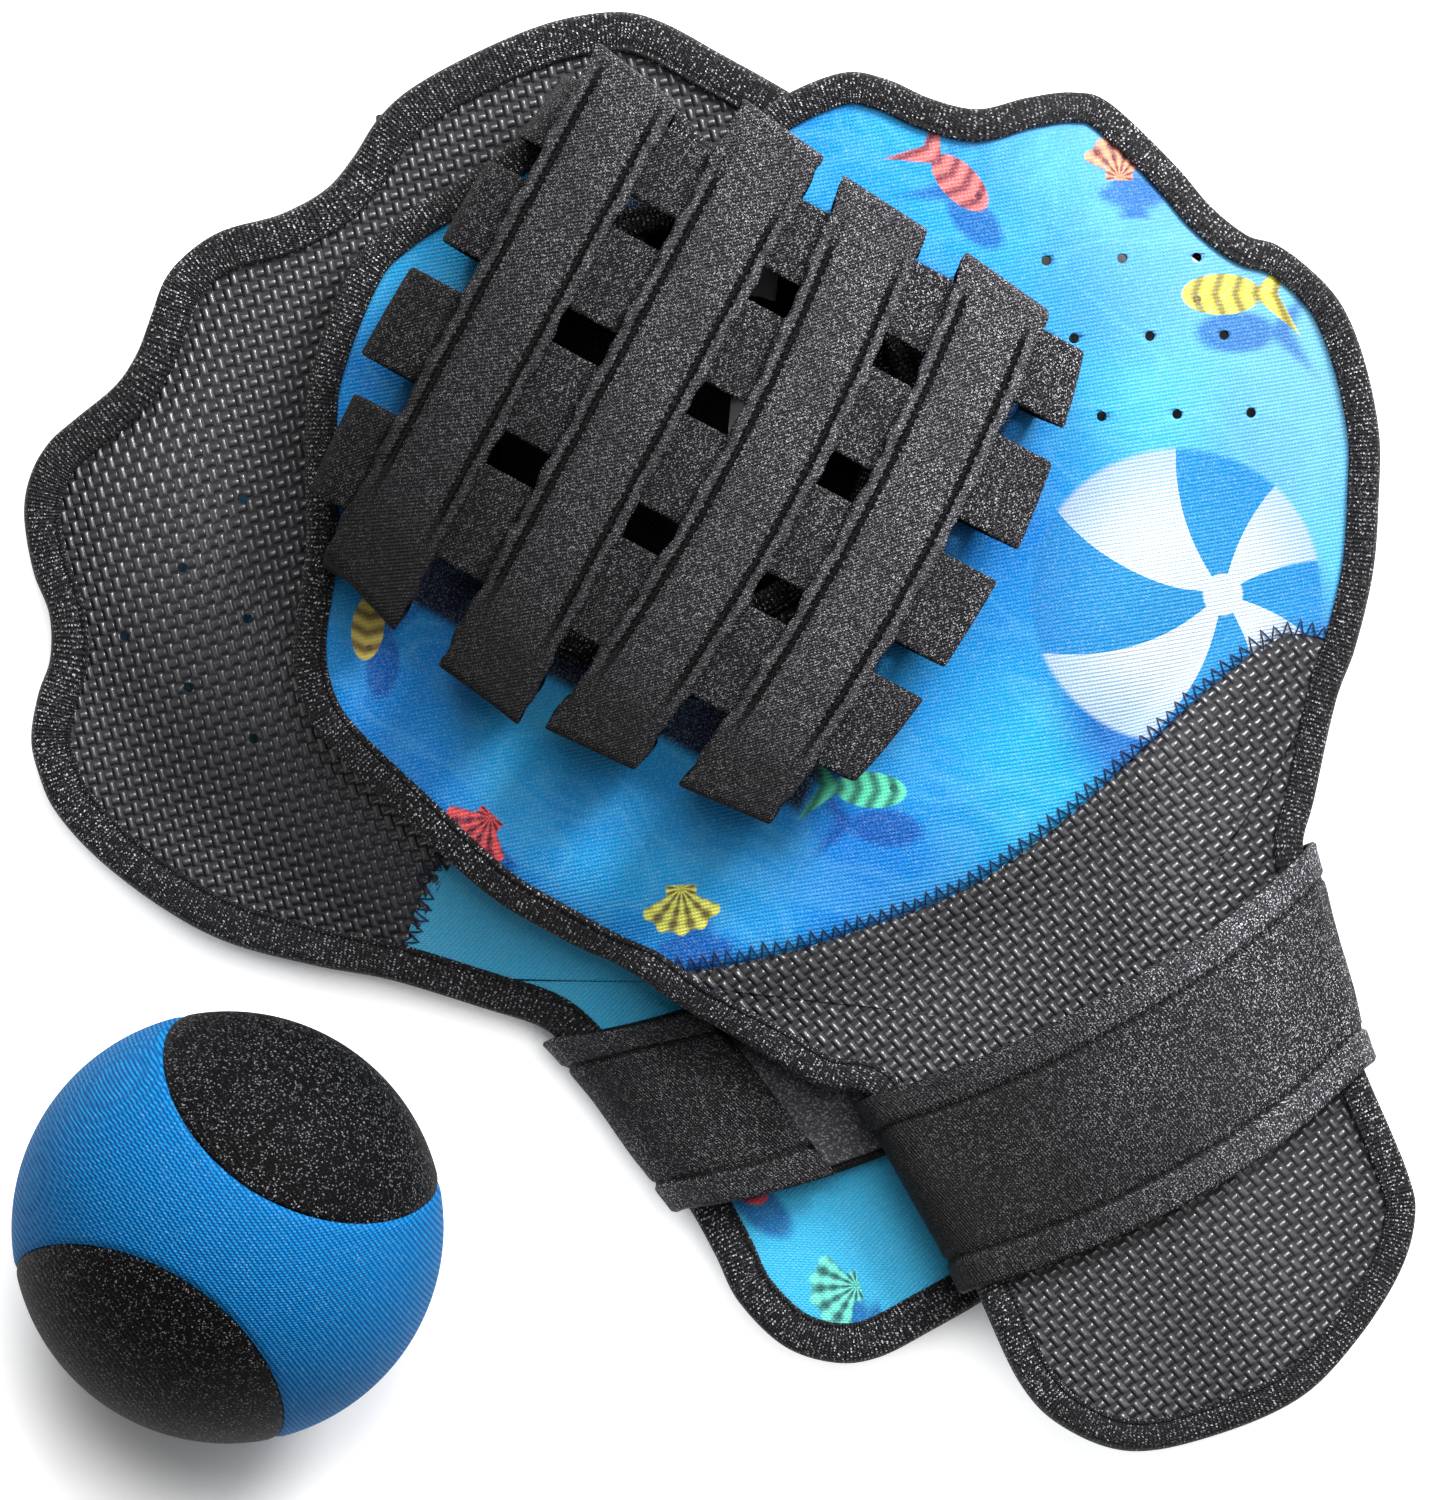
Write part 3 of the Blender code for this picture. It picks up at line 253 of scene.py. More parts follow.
def lay(mitt, plan, level):
    """Takes plan points and levels over the height field, along its normals."""
    height = height_field(mitt)
    x, y = plan[..., 0], plan[..., 1]
    step = 0.5
    slope_x = (height(x + step, y) - height(x - step, y)) / (2 * step)
    slope_y = (height(x, y + step) - height(x, y - step)) / (2 * step)
    normal = unit(np.stack([-slope_x, -slope_y, np.ones_like(x)], axis=-1))
    side = 1.0 if mitt["face_a_up"] else -1.0
    level = np.broadcast_to(level, x.shape)[..., None]
    return np.stack([x, y, height(x, y)], axis=-1) + side * level * normal


# Curves in the plan


def spline(points, closed):
    """Catmull-Rom curve through the points, SPAN_STEPS to a span."""
    points = np.array(points, float)
    count = len(points)
    if closed:
        before, start, end, after = (np.roll(points, 1 - turn, axis=0) for turn in range(4))
        spans = count
    else:
        padded = np.vstack([2 * points[0] - points[1], points, 2 * points[-1] - points[-2]])
        before, start, end, after = (padded[turn : count - 1 + turn] for turn in range(4))
        spans = count - 1
    share = (np.arange(SPAN_STEPS) / SPAN_STEPS)[None, :, None]
    before, start, end, after = (part[:spans, None] for part in (before, start, end, after))
    curve = 0.5 * (
        2 * start
        + (end - before) * share
        + (2 * before - 5 * start + 4 * end - after) * share**2
        + (3 * start - before - 3 * end + after) * share**3
    )
    curve = curve.reshape(-1, 2)
    return curve if closed else np.vstack([curve, points[-1]])


def travelled(curve):
    """Distance along a curve at each of its points."""
    steps = np.linalg.norm(np.diff(curve, axis=0), axis=1)
    return np.concatenate([[0.0], np.cumsum(steps)])


def even(curve, count):
    """The curve at count + 1 points an equal way apart."""
    return at(curve, np.linspace(0.0, travelled(curve)[-1], count + 1))


def at(curve, places):
    """Points of a curve at distances along it."""
    along = travelled(curve)
    return np.stack([np.interp(places, along, part) for part in curve.T], axis=-1)


def filleted(corners, radii, step):
    """A polyline with each inner corner rounded by a quadratic arc, sampled every step."""
    corners = np.array(corners, float)
    parts = [corners[:1]]
    share = np.linspace(0.0, 1.0, 9)[:, None]
    for before, here, after, radius in zip(corners, corners[1:], corners[2:], radii):
        into, out = before - here, after - here
        into_far, out_far = np.linalg.norm(into), np.linalg.norm(out)
        start = here + into / into_far * min(radius, into_far * 0.49)
        end = here + out / out_far * min(radius, out_far * 0.49)
        parts.append((1 - share) ** 2 * start + 2 * share * (1 - share) * here + share**2 * end)
    path = np.vstack([*parts, corners[-1:]])
    return even(path, max(2, int(round(travelled(path)[-1] / step))))


def inward(outline, reach=2):
    """Unit normals into a closed outline, from the chord between neighbours on each side."""
    tangent = np.roll(outline, -reach, axis=0) - np.roll(outline, reach, axis=0)
    after = np.roll(outline, -1, axis=0)
    turned = np.sum(outline[:, 0] * after[:, 1] - after[:, 0] * outline[:, 1])
    return unit(np.stack([-tangent[:, 1], tangent[:, 0]], axis=1) * np.sign(turned))


class Plan:
    """The flat plan of one mitt: its outline, its seam and the panels' boundaries."""

    def __init__(self, mitt):
        whole = spline(mitt["hand"] + mitt["wrist"], closed=True)
        turn = (len(mitt["hand"]) - 1) * SPAN_STEPS
        self.hand = even(whole[: turn + 1], HAND_STEPS)
        self.wrist = even(np.vstack([whole[turn:], whole[:1]]), WRIST_STEPS)
        self.whole = even(np.vstack([whole, whole[:1]]), OUTLINE_STEPS)[:-1]
        self.seam = even(spline(mitt["seam"], closed=False), SEAM_STEPS)


def lattice_axes(mitt):
    """Unit vectors across the pocket, to the little finger side, and along it, to the tips."""
    turn = math.radians(mitt["pocket_turn"])
    side = 1.0 if mitt["face_a_up"] else -1.0
    across = side * np.array([math.cos(turn), math.sin(turn)])
    return across, side * np.array([-across[1], across[0]])


def in_lattice(mitt, across, along):
    """Plan points from distances across and along the pocket."""
    right, up = lattice_axes(mitt)
    across, along = np.broadcast_arrays(across, along)
    return np.array(mitt["pocket"]) + across[..., None] * right + along[..., None] * up


def cloth_place(mitt, plan):
    """Distances across and along the pocket, by which the cloth of a mitt is patterned."""
    right, up = lattice_axes(mitt)
    away = plan - np.array(mitt["pocket"])
    return np.stack([away @ right, away @ up], axis=-1)


# Meshes


def uv_grid(along, around):
    """UV of a grid whose rows lie along a piece and whose columns go around it."""
    return np.stack(np.broadcast_arrays(along[:, None], around[None]), axis=-1)


def grid_faces(rows, columns, closed_rows, closed_columns):
    """Quads of a grid of points, and of its UV grid, which never wraps round."""
    row = np.arange(rows if closed_rows else rows - 1)[:, None]
    column = np.arange(columns if closed_columns else columns - 1)[None, :]
    steps = ((0, 0), (0, 1), (1, 1), (1, 0))
    faces, uv_faces = [], []
    for down, right in steps:
        faces.append(((row + down) % rows * columns + (column + right) % columns).ravel())
        uv_faces.append(((row + down) * (columns + closed_columns) + column + right).ravel())
    return np.stack(faces, axis=1), np.stack(uv_faces, axis=1)


def surface_mesh(name, points, faces, corner_uv):
    """A smooth mesh from points in plan millimetres and quads, with a UV map in millimetres."""
    mesh = bpy.data.meshes.new(name)
    mesh.vertices.add(len(points))
    mesh.vertices.foreach_set("co", ((points + SHIFT) * MM).ravel())
    mesh.loops.add(faces.size)
    mesh.loops.foreach_set("vertex_index", faces.ravel())
    mesh.polygons.add(len(faces))
    mesh.polygons.foreach_set("loop_start", np.arange(0, faces.size, 4))
    mesh.update(calc_edges=True)
    mesh.uv_layers.new(name="millimetres").data.foreach_set("uv", corner_uv.ravel())
    shape = bmesh.new()
    shape.from_mesh(mesh)
    bmesh.ops.remove_doubles(shape, verts=shape.verts, dist=1e-6)
    bmesh.ops.dissolve_degenerate(shape, edges=shape.edges, dist=1e-7)
    bmesh.ops.recalc_face_normals(shape, faces=shape.faces)
    shape.to_mesh(mesh)
    shape.free()
    mesh.shade_smooth()
    return mesh


def grid_mesh(name, points, uv, closed_rows=False):
    """A mesh from a grid of points (row, column, xyz), closed round its columns, and its UV."""
    faces, uv_faces = grid_faces(*points.shape[:2], closed_rows, True)
    return surface_mesh(name, points.reshape(-1, 3), faces, uv.reshape(-1, 2)[uv_faces])


def capped_mesh(name, rings, uv):
    """A mesh from rings, with one more at each end gathered in the middle of the end ring."""
    first, last = (np.broadcast_to(end.mean(axis=0), end.shape)[None] for end in (rings[0], rings[-1]))
    return grid_mesh(name, np.concatenate([first, rings, last]), np.concatenate([uv[:1], uv, uv[-1:]]))


def tube_mesh(name, paths, radius, sides=6):
    """Round threads along several paths (point, xyz), each tapered shut at its ends."""
    turn = np.arange(sides) / sides * TAU
    points, faces, uvs = [], [], []
    for path in paths:
        tangent = unit(np.gradient(path, axis=0))
        side = unit(np.cross(tangent, np.array([0.0, 0.0, 1.0])))
        up = np.cross(side, tangent)
        ring = side[:, None] * np.cos(turn)[:, None] + up[:, None] * np.sin(turn)[:, None]
        size = np.full(len(path), radius)
        size[[0, -1]] = 0.02
        face, uv_face = grid_faces(len(path), sides, False, True)
        faces.append(face + sum(len(part) for part in points))
        points.append((path[:, None] + ring * size[:, None, None]).reshape(-1, 3))
        uv = uv_grid(travelled(path), np.arange(sides + 1) / sides)
        uvs.append(uv.reshape(-1, 2)[uv_face])
    return surface_mesh(name, np.vstack(points), np.vstack(faces), np.vstack(uvs))


def add_piece(name, mesh, looks, slot, *nodes):
    """Puts a mesh into the scene as a piece that stands for CAD nodes."""
    for look in looks:
        mesh.materials.append(look)
    piece = bpy.data.objects.new(name, mesh)
    bpy.context.scene.collection.objects.link(piece)
    if nodes:
        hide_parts(*nodes)
    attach(piece, "root")
    return piece


# The mitts


def panel_levels(plan, places):
    """Half the neoprene, drawn in where the seam's stitches pull it and puffed beside them."""
    flat = places.reshape(-1, 2)
    away = np.full(len(flat), 1e9)
    for knot in plan.seam[::2]:
        away = np.minimum(away, np.hypot(*(flat - knot).T))
    away = away.reshape(places.shape[:-1])
    return HALF - 0.75 * np.exp(-((away / 1.3) ** 2)) + 0.25 * np.exp(-(((away - 4.0) / 2.0) ** 2))


def panel_edge(outline, seam):
    """A panel's own edge: under the tape's fold, and right beside the seam."""
    boundary = np.vstack([outline[:-1], seam[:-1]])
    insets = np.repeat([TAPE + SEAT_GAP, SEAM_INSET], [len(outline) - 1, len(seam) - 1])[:, None]
    return boundary + inward(boundary, 1) * insets


def panel(mitt, plan, part, rings, has_hole, looks, slot):
    """Rings of plan points laid out as face A and, in the other order, as face B."""
    level = panel_levels(plan, rings)
    points = np.concatenate([lay(mitt, rings, level), lay(mitt, rings[::-1], -level[::-1])])
    flat = np.concatenate([rings, rings[::-1], rings[: int(has_hole)]])
    flat = np.concatenate([flat, flat[:, :1]], axis=1)
    mesh = grid_mesh(part + "_panel", points, cloth_place(mitt, flat), has_hole)
    name = mitt["name"] + "_" + part
    return add_piece(name + "_cloth", mesh, looks, slot, name + "_panel")


def hand_panel(mitt, plan, looks):
    """Its rings run straight from the outline's points to the mouth, at equal shares."""
    edge = panel_edge(plan.hand, plan.seam[::-1])
    centre = np.array(mitt["pocket"])
    bearing = np.unwrap(np.arctan2(*(edge - centre).T[::-1]))
    turn = np.sign(bearing[-1] - bearing[0])
    place = np.arange(len(edge)) - (len(edge) - 1) / 2
    aim = 0.75 * bearing + 0.25 * (bearing.mean() + turn * place * TAU / len(edge))
    hole = MOUTH_RADIUS + TAPE + SEAT_GAP
    mouth = centre + hole * np.stack([np.cos(aim), np.sin(aim)], axis=1)
    rings = edge + (mouth - edge) * np.linspace(0.0, 1.0, HAND_RINGS)[:, None, None]
    faces = [looks[mitt["name"] + "_print"], looks["grip"]]
    piece = panel(mitt, plan, "hand", rings, True, faces, "blue_print_neoprene")
    cut_vents(mitt, piece)
    paint_back(mitt, piece)


def wrist_panel(mitt, plan, looks):
    """Its rings grow from the panel's middle to the outline."""
    edge = panel_edge(plan.wrist, plan.seam)
    middle = edge.mean(axis=0)
    rings = middle + (edge - middle) * np.linspace(0.0, 1.0, WRIST_RINGS)[:, None, None]
    faces = [looks["grip"], looks[mitt["name"] + "_print"]]
    piece = panel(mitt, plan, "wrist", rings, False, faces, "embossed_black_neoprene")
    paint_back(mitt, piece)


def paint_back(mitt, piece):
    """Gives face B and the walls of the vents their own material, by the way they face."""
    mesh = piece.data
    normals = np.empty(len(mesh.polygons) * 3)
    mesh.polygons.foreach_get("normal", normals)
    tilt = normals.reshape(-1, 3)[:, 2]
    face_a = ((tilt > 0) == mitt["face_a_up"]) & (np.abs(tilt) > 0.5)
    mesh.polygons.foreach_set("material_index", np.where(face_a, 0, 1).astype(np.int32))
    mesh.update()


def cut_vents(mitt, piece):
    """Cuts the vent holes: round pins taken out by a Boolean that is then made real."""
    shape = bmesh.new()
    corner, row_step, column_step = (np.array(part) for part in mitt["vents"])
    for row, column in np.ndindex(3, 3):
        x, y = corner + row * row_step + column * column_step
        middle = (np.array([x, y, height_field(mitt)(x, y)]) + SHIFT) * MM
        radius = VENT_RADIUS * MM
        pin = bmesh.ops.create_cone(
            shape, cap_ends=True, segments=20, radius1=radius, radius2=radius, depth=3 * NEOPRENE * MM
        )
        bmesh.ops.translate(shape, verts=pin["verts"], vec=Vector(middle))
    mesh = bpy.data.meshes.new("vent_pins")
    shape.to_mesh(mesh)
    shape.free()
    pins = bpy.data.objects.new("vent_pins", mesh)
    bpy.context.scene.collection.objects.link(pins)
    cut = piece.modifiers.new("vents", "BOOLEAN")
    cut.operation = "DIFFERENCE"
    cut.solver = "EXACT"
    cut.object = pins
    graph = bpy.context.evaluated_depsgraph_get()
    done = bpy.data.meshes.new_from_object(piece.evaluated_get(graph))
    piece.modifiers.clear()
    piece.data = done
    bpy.data.objects.remove(pins)


def tape_profile(on_a, on_b):
    """Section of a folded tape as (inset, level): crowned faces, a round nose, a stitch furrow."""
    def face(width, side):
        inset = np.concatenate([[1.6, 2.4, 3.6, 4.8], width - np.array([2.0, 1.6, 1.25, 0.9, 0.5, 0.1])])
        crown = BINDING_TOP + 0.12 * np.sin(np.clip(inset / width, 0, 1) * math.pi)
        furrow = 0.55 * np.exp(-(((inset - (width - 1.45)) / 0.35) ** 2))
        curl = 0.75 * np.clip((inset - (width - 0.6)) / 0.5, 0, 1) ** 2
        return np.stack([inset, side * (crown - furrow - curl)], axis=1)

    turn = np.linspace(-1, 1, 11)[1:-1] * math.pi / 2
    nose = np.stack([1.6 - 1.6 * np.cos(turn) ** 0.8, -BINDING_TOP * np.sin(turn)], axis=1)
    slot = [
        (inset, level * BINDING_SLOT)
        for inset, level in ((on_b - 0.1, -1.0), (TAPE, -1.0), (TAPE, 1.0), (on_a - 0.1, 1.0))
    ]
    return np.vstack([face(on_a, 1.0)[::-1], nose, face(on_b, -1.0), slot])


def bindings(mitt, plan, looks):
    """The tapes folded over the whole outline and over the edge of the pocket mouth."""
    bearing = np.arange(MOUTH_STEPS) / MOUTH_STEPS * TAU
    out = np.stack([np.cos(bearing), np.sin(bearing)], axis=1)
    mouth = np.array(mitt["pocket"]) + MOUTH_RADIUS * out
    for part, curve, normals, widths in (
        ("edge", plan.whole, inward(plan.whole, 4), (BINDING_ON_A, BINDING_ON_B)),
        ("mouth", mouth, out, (MOUTH_BINDING, MOUTH_BINDING)),
    ):
        profile = tape_profile(*widths)
        rings = np.stack([lay(mitt, curve + normals * inset, level) for inset, level in profile], axis=1)
        uv = uv_grid(*(travelled(np.vstack([loop, loop[:1]])) for loop in (curve, profile)))
        name = f"{mitt['name']}_{part}"
        mesh = grid_mesh(name + "_tape", rings, uv, True)
        add_piece(name + "_tape", mesh, [looks["binding"]], "black_binding_tape", name + "_binding")


def zigzag_seam(mitt, plan, looks):
    """Zigzag thread over the butted seam on both faces, reaching further into the hand panel."""
    length = travelled(plan.seam)[-1]
    turns = int(length / 1.35)
    place = np.linspace(5.0, length - 5.0, turns)
    knots = at(plan.seam, place)
    tangent = unit(at(plan.seam, place + 0.5) - at(plan.seam, place - 0.5))
    normal = np.stack([-tangent[:, 1], tangent[:, 0]], axis=1)
    into_hand = np.sign(np.sum((np.array(mitt["pocket"]) - knots) * normal, axis=1))
    number = np.arange(turns)
    reach = np.where(number % 2, 3.0, -0.5) + 0.35 * np.sin(number * 2.3)
    corners = knots + normal * (into_hand * reach)[:, None]
    step = np.arange(4 * turns - 3) / 4
    path = np.stack([np.interp(step, number, corners[:, axis]) for axis in (0, 1)], axis=1)
    level = np.maximum(panel_levels(plan, path), HALF - 0.4) + 0.30 * np.sin(step % 1 * math.pi) + 0.02
    mesh = tube_mesh("zigzag", [lay(mitt, path, side * level) for side in (1.0, -1.0)], 0.17)
    add_piece(mitt["name"] + "_zigzag_thread", mesh, [looks["thread"]], "black_binding_tape")


# The lattice


def strap_side(start, end, foot, seats, top, rounds):
    """The outer side of a strap from foot to foot, as (reach, level), its folds rounded."""
    corners = [
        (FOOT - foot, seats[0]), (-foot, seats[0]), (-start, top),
        (end, top), (foot, seats[1]), (foot - FOOT, seats[1]),
    ]
    return filleted(corners, (1.2, *rounds, 1.2), 0.9)


def edge_shares(across, width):
    """Shares of a width at distances from both of its edges; the last one is the middle."""
    return np.concatenate([across, width - across[::-1][1:]]) / width


def strap_rings(sides, shares, heights, width):
    """Rings of a strap between the (reach, level) paths of its left and right edges.

    The outer side rises by heights (point, share); the inner side is flat. A ring goes
    over the outer side from left to right and back under it, its corners rounded.
    """
    def thickened(path):
        tangent = np.gradient(path, axis=0)
        return path + unit(np.stack([tangent[:, 1], -tangent[:, 0]], axis=1)) * STRAP

    def across(left, right):
        return left[:, None] + (right - left)[:, None] * shares[None, :, None]

    outer, inner = across(*sides), across(*(thickened(side) for side in sides))
    edge = np.minimum(shares, 1 - shares) * width
    round_off = 0.55 * (1 - np.sqrt(1 - (1 - np.clip(edge / 0.9, 0, 1)) ** 2))[None, :, None]
    outward = (outer - inner) / STRAP
    outer = outer + outward * (heights[:, :, None] - round_off)
    inner = inner + outward * round_off
    place = np.broadcast_to((shares - 0.5) * width, outer.shape[:2])[..., None]
    top, under = (np.concatenate([place, side], axis=2) for side in (outer, inner))
    around = np.concatenate([shares * width, width + 6.0 + (1 - shares[::-1]) * width, [2 * width + 12.0]])
    return np.concatenate([top, under[:, ::-1]], axis=1), uv_grid(travelled(sum(sides) / 2), around)


def strap_sides(*sides):
    """Brings the two sides of a strap to one count of points."""
    count = min(len(side) for side in sides)
    return [even(side, count - 1) for side in sides]


def add_strap(mitt, kind, number, plan, level, uv, look, slot):
    """Lays a strap's rings over its mitt, and puts them into the scene."""
    name = f"{mitt['name']}_{kind}_{number + 1}"
    mesh = capped_mesh(kind, lay(mitt, plan, level), uv)
    add_piece(name + "_cloth", mesh, [look], slot, name)


def long_strap(mitt, number, looks, pocket):
    """A strap towards the fingertips, with a rolled ridge and a stitched groove each side."""
    middle, bow, tip_left, tip_right, base_left, base_right = LONG_STRAPS[number]
    top = HALF + pocket
    seat = ON_BINDING if number < 2 else ON_PANEL
    sides = strap_sides(*(
        strap_side(base, tip, LONG_FOOT, (seat, seat), top, (2.2, 2.2))
        for base, tip in ((base_left, tip_left), (base_right, tip_right))
    ))
    fine = [0.0, 0.25, 0.6, 1.0, 1.5, 2.0, 2.4, 2.65, 2.9, 3.15, 3.4, 3.7, 4.0]
    shares = edge_shares(np.concatenate([fine, np.linspace(5.0, 10.3, 6)]), LONG_WIDTH)
    edge = np.minimum(shares, 1 - shares) * LONG_WIDTH
    reach, level = (sum(sides) / 2).T
    past_base = ease((reach + min(base_left, base_right) - GROOVES_FROM_BASE) / 3.0)
    before_tip = ease((min(tip_left, tip_right) - GROOVES_FROM_TOP - reach) / 2.0)
    worked = past_base * before_tip * (level > top - 0.4)
    ridge = (RIDGE - 0.25) * np.sqrt(np.clip(1 - ((edge - 1.2) / 1.3) ** 2, 0, 1))
    groove = -GROOVE * np.exp(-(((edge - 3.1) / 0.55) ** 2))
    crown = 0.25 * np.clip((edge - 4.0) / 6.0, 0, 1)
    roll = (0.24 * np.sin(reach / 2.9 + 2.1 * number) + 0.2 * np.sin(reach / 1.2 + number))[:, None]
    heights = worked[:, None] * (ridge * (1 + roll) + groove + crown)
    rings, uv = strap_rings(sides, shares, heights, LONG_WIDTH)
    sway = np.sign(shares - 0.5) * np.clip(1 - edge / 3.0, 0, 1)
    across = rings[..., 0] + 1.1 * roll * np.concatenate([sway, sway[::-1]])
    across = across + middle - bow * (rings[..., 1] / LONG_FOOT) ** 2
    plan = in_lattice(mitt, across, rings[..., 1])
    add_strap(mitt, "long_strap", number, plan, rings[..., 2], uv, looks["strap"], "dark_grey_strap_neoprene")


def cross_strap(mitt, number, looks, pocket):
    """A strap across the pocket, under the long ones, with a rounded loop on the thumb side."""
    middle, width, thumb_top, thumb_base, little_top, little_base = CROSS_STRAPS[number]
    top = HALF + pocket - STRAP - SEAT_GAP
    sides = strap_sides(*(
        strap_side(thumb, little, CROSS_FOOT, (ON_BINDING, ON_PANEL), top, (9.5, 2.4))
        for thumb, little in ((thumb_base, little_base), (thumb_top, little_top))
    ))
    shares = edge_shares(np.array([0.0, 0.25, 0.6, 1.0, 1.6, 2.6, 4.0, 6.0, width / 2]), width)
    heights = np.broadcast_to(0.2 * np.sin(shares * math.pi) - 0.2, (len(sides[0]), len(shares)))
    rings, uv = strap_rings(sides, shares, heights, width)
    plan = in_lattice(mitt, rings[..., 1], rings[..., 0] + middle)
    add_strap(mitt, "cross_strap", number, plan, rings[..., 2], uv, looks["cross"], "charcoal_strap_neoprene")


# The wrist band


class BandRows:
    """Rows of the wrist band, each a line from the thumb edge to the little finger edge."""

    def __init__(self, mitt, plan):
        edge = plan.wrist
        places = [
            travelled(edge)[np.argmin(np.linalg.norm(edge - np.array(corner), axis=1))]
            for corner in mitt["band"]
        ]
        self.shares = np.linspace(0.0, 1.0, BAND_ROWS)
        self.thumb, self.little = (
            at(edge, top + (base - top) * self.shares) for top, base in (places[:2], places[2:])
        )
        self.length = np.linalg.norm(self.little - self.thumb, axis=1)
        self.along = unit(self.little - self.thumb)
        downs = [side[-1] - side[0] for side in (self.thumb, self.little)]
        self.down = unit(sum(downs))
        self.across = sum(np.linalg.norm(down) for down in downs) / 2

    def points(self, from_thumb):
        """Plan points (row, place) at distances from the thumb end, bowed between the ends."""
        share = np.clip(from_thumb / self.length[:, None], 0.0, 1.0)
        bow = BAND_BOW * 4 * share * (1 - share)
        line = self.thumb[:, None] + from_thumb[..., None] * self.along[:, None]
        return line + bow[..., None] * self.down


def band_side(length, out, half, turns_in, lies):
    """The band's way round the wrist as (place, level), at a distance out from its inner side."""
    level, tail, side = BAND_LEVEL + out, TAIL_LEVEL + out, BAND_SIDE + out
    corners = [
        (length - INNER_STOPS, -level), (0.5, -level), (-side, -half), (-side, half), (0.5, level),
        (length - 0.5, level), (length + side, half), (length + side, -half), (length - turns_in, -level),
        (length - lies, -tail), (length - TAIL, -tail),
    ]
    return filleted(corners, (1.5,) * 8 + (3.0,), 1.5)


def flat_mesh(name, near, far, v, along):
    """A mesh of a strip from its two faces (row, place, xyz); the UV of the near one is 200 on."""
    rings = np.concatenate([near, far[::-1]]).transpose(1, 0, 2)
    return capped_mesh(name, rings, uv_grid(along, np.concatenate([v + 200.0, v[::-1], [200.0]])))


def wrist_band(mitt, rows, looks):
    """The stretch band: hems stand proud at both edges and the cloth between them wrinkles.

    Wrinkles are sines of the place along the band, bent and faded across it.
    """
    inner = [band_side(length, 0.0, SIDE_HALF, 0.5, TAIL_LIES) for length in rows.length]
    outer = [band_side(length, BAND, SIDE_HALF + 0.6, 0.0, TAIL_LIES - 0.4) for length in rows.length]
    count = min(len(side) for side in inner + outer)
    inner, outer = (np.stack([even(side, count - 1) for side in sides]) for sides in (inner, outer))
    along = travelled(outer[len(outer) // 2])
    from_edge = np.minimum(rows.shares, 1 - rows.shares) * rows.across
    hem = 0.55 * ease((HEM - from_edge) / 0.8) - 0.75 * np.exp(-(((from_edge - HEM) / 0.7) ** 2))
    hem = hem - 0.8 * np.clip(1 - from_edge / 0.9, 0, 1) ** 2
    v = rows.shares[:, None] * BAND_WIDTH
    bend = along + 6 * np.sin(v / 13.0)
    wrinkle = 0.28 * np.sin(bend / 5.3) * np.sin(v / 9.0 + along / 21.0)
    wrinkle = wrinkle + 0.16 * np.sin(bend / 2.4 + 1.7) * np.sin(v / 6.0 + bend / 15.0)
    lift = hem[:, None] + wrinkle * ease((from_edge - HEM - 1.0) / 8.0)[:, None]
    outer = outer + unit(outer - inner) * lift[..., None]
    faces = [lay(mitt, rows.points(side[..., 0]), side[..., 1]) for side in (inner, outer)]
    mesh = flat_mesh("wrist_band", *faces, v[:, 0], along)
    name = mitt["name"]
    piece = add_piece(name + "_band_cloth", mesh, [looks["band"]], "black_stretch_band", name + "_wrist_band")
    name + "_edge_tape"


def patch(mitt, rows, part, reach, level, look, slot):
    """A flat fastener strip on face B, between two distances from the little finger edge."""
    trim = int(len(rows.shares) * PATCH_MARGIN / rows.across)
    keep = slice(trim, len(rows.shares) - trim)
    along = np.linspace(*reach, 24)
    plan = rows.points(rows.length[:, None] - along)[keep]
    near, far = lay(mitt, plan, -level), lay(mitt, plan, -level - PATCH)
    mesh = flat_mesh(part, near, far, (rows.shares * rows.across)[keep], along)
    name = f"{mitt['name']}_{part}"
    add_piece(name + "_pile", mesh, [look], slot, name)


# The ball


def seam_curve(places):
    """The closed seam of a two-piece ball cover on the unit sphere.

    x = a cos t + b cos 3t, y = a sin t - b sin 3t, z = 2 sqrt(ab) sin 2t, with a + b = 1
    and a - b the half-width of a cover's waist.
    """
    a, b = (1 + COVER_WAIST) / 2, (1 - COVER_WAIST) / 2
    x = a * np.cos(places) + b * np.cos(3 * places)
    y = a * np.sin(places) - b * np.sin(3 * places)
    return np.stack([x, y, 2 * math.sqrt(a * b) * np.sin(2 * places)], axis=-1)


def on_ball(directions, radius):
    """Points in the plan from directions in the ball's own axes."""
    turn = math.radians(COVER_TURN - 45.0)
    x = directions[..., 0] * math.cos(turn) - directions[..., 1] * math.sin(turn)
    y = directions[..., 0] * math.sin(turn) + directions[..., 1] * math.cos(turn)
    radius = np.broadcast_to(radius, x.shape)[..., None]
    return BALL_IN_PLAN + np.stack([x, y, directions[..., 2]], axis=-1) * radius


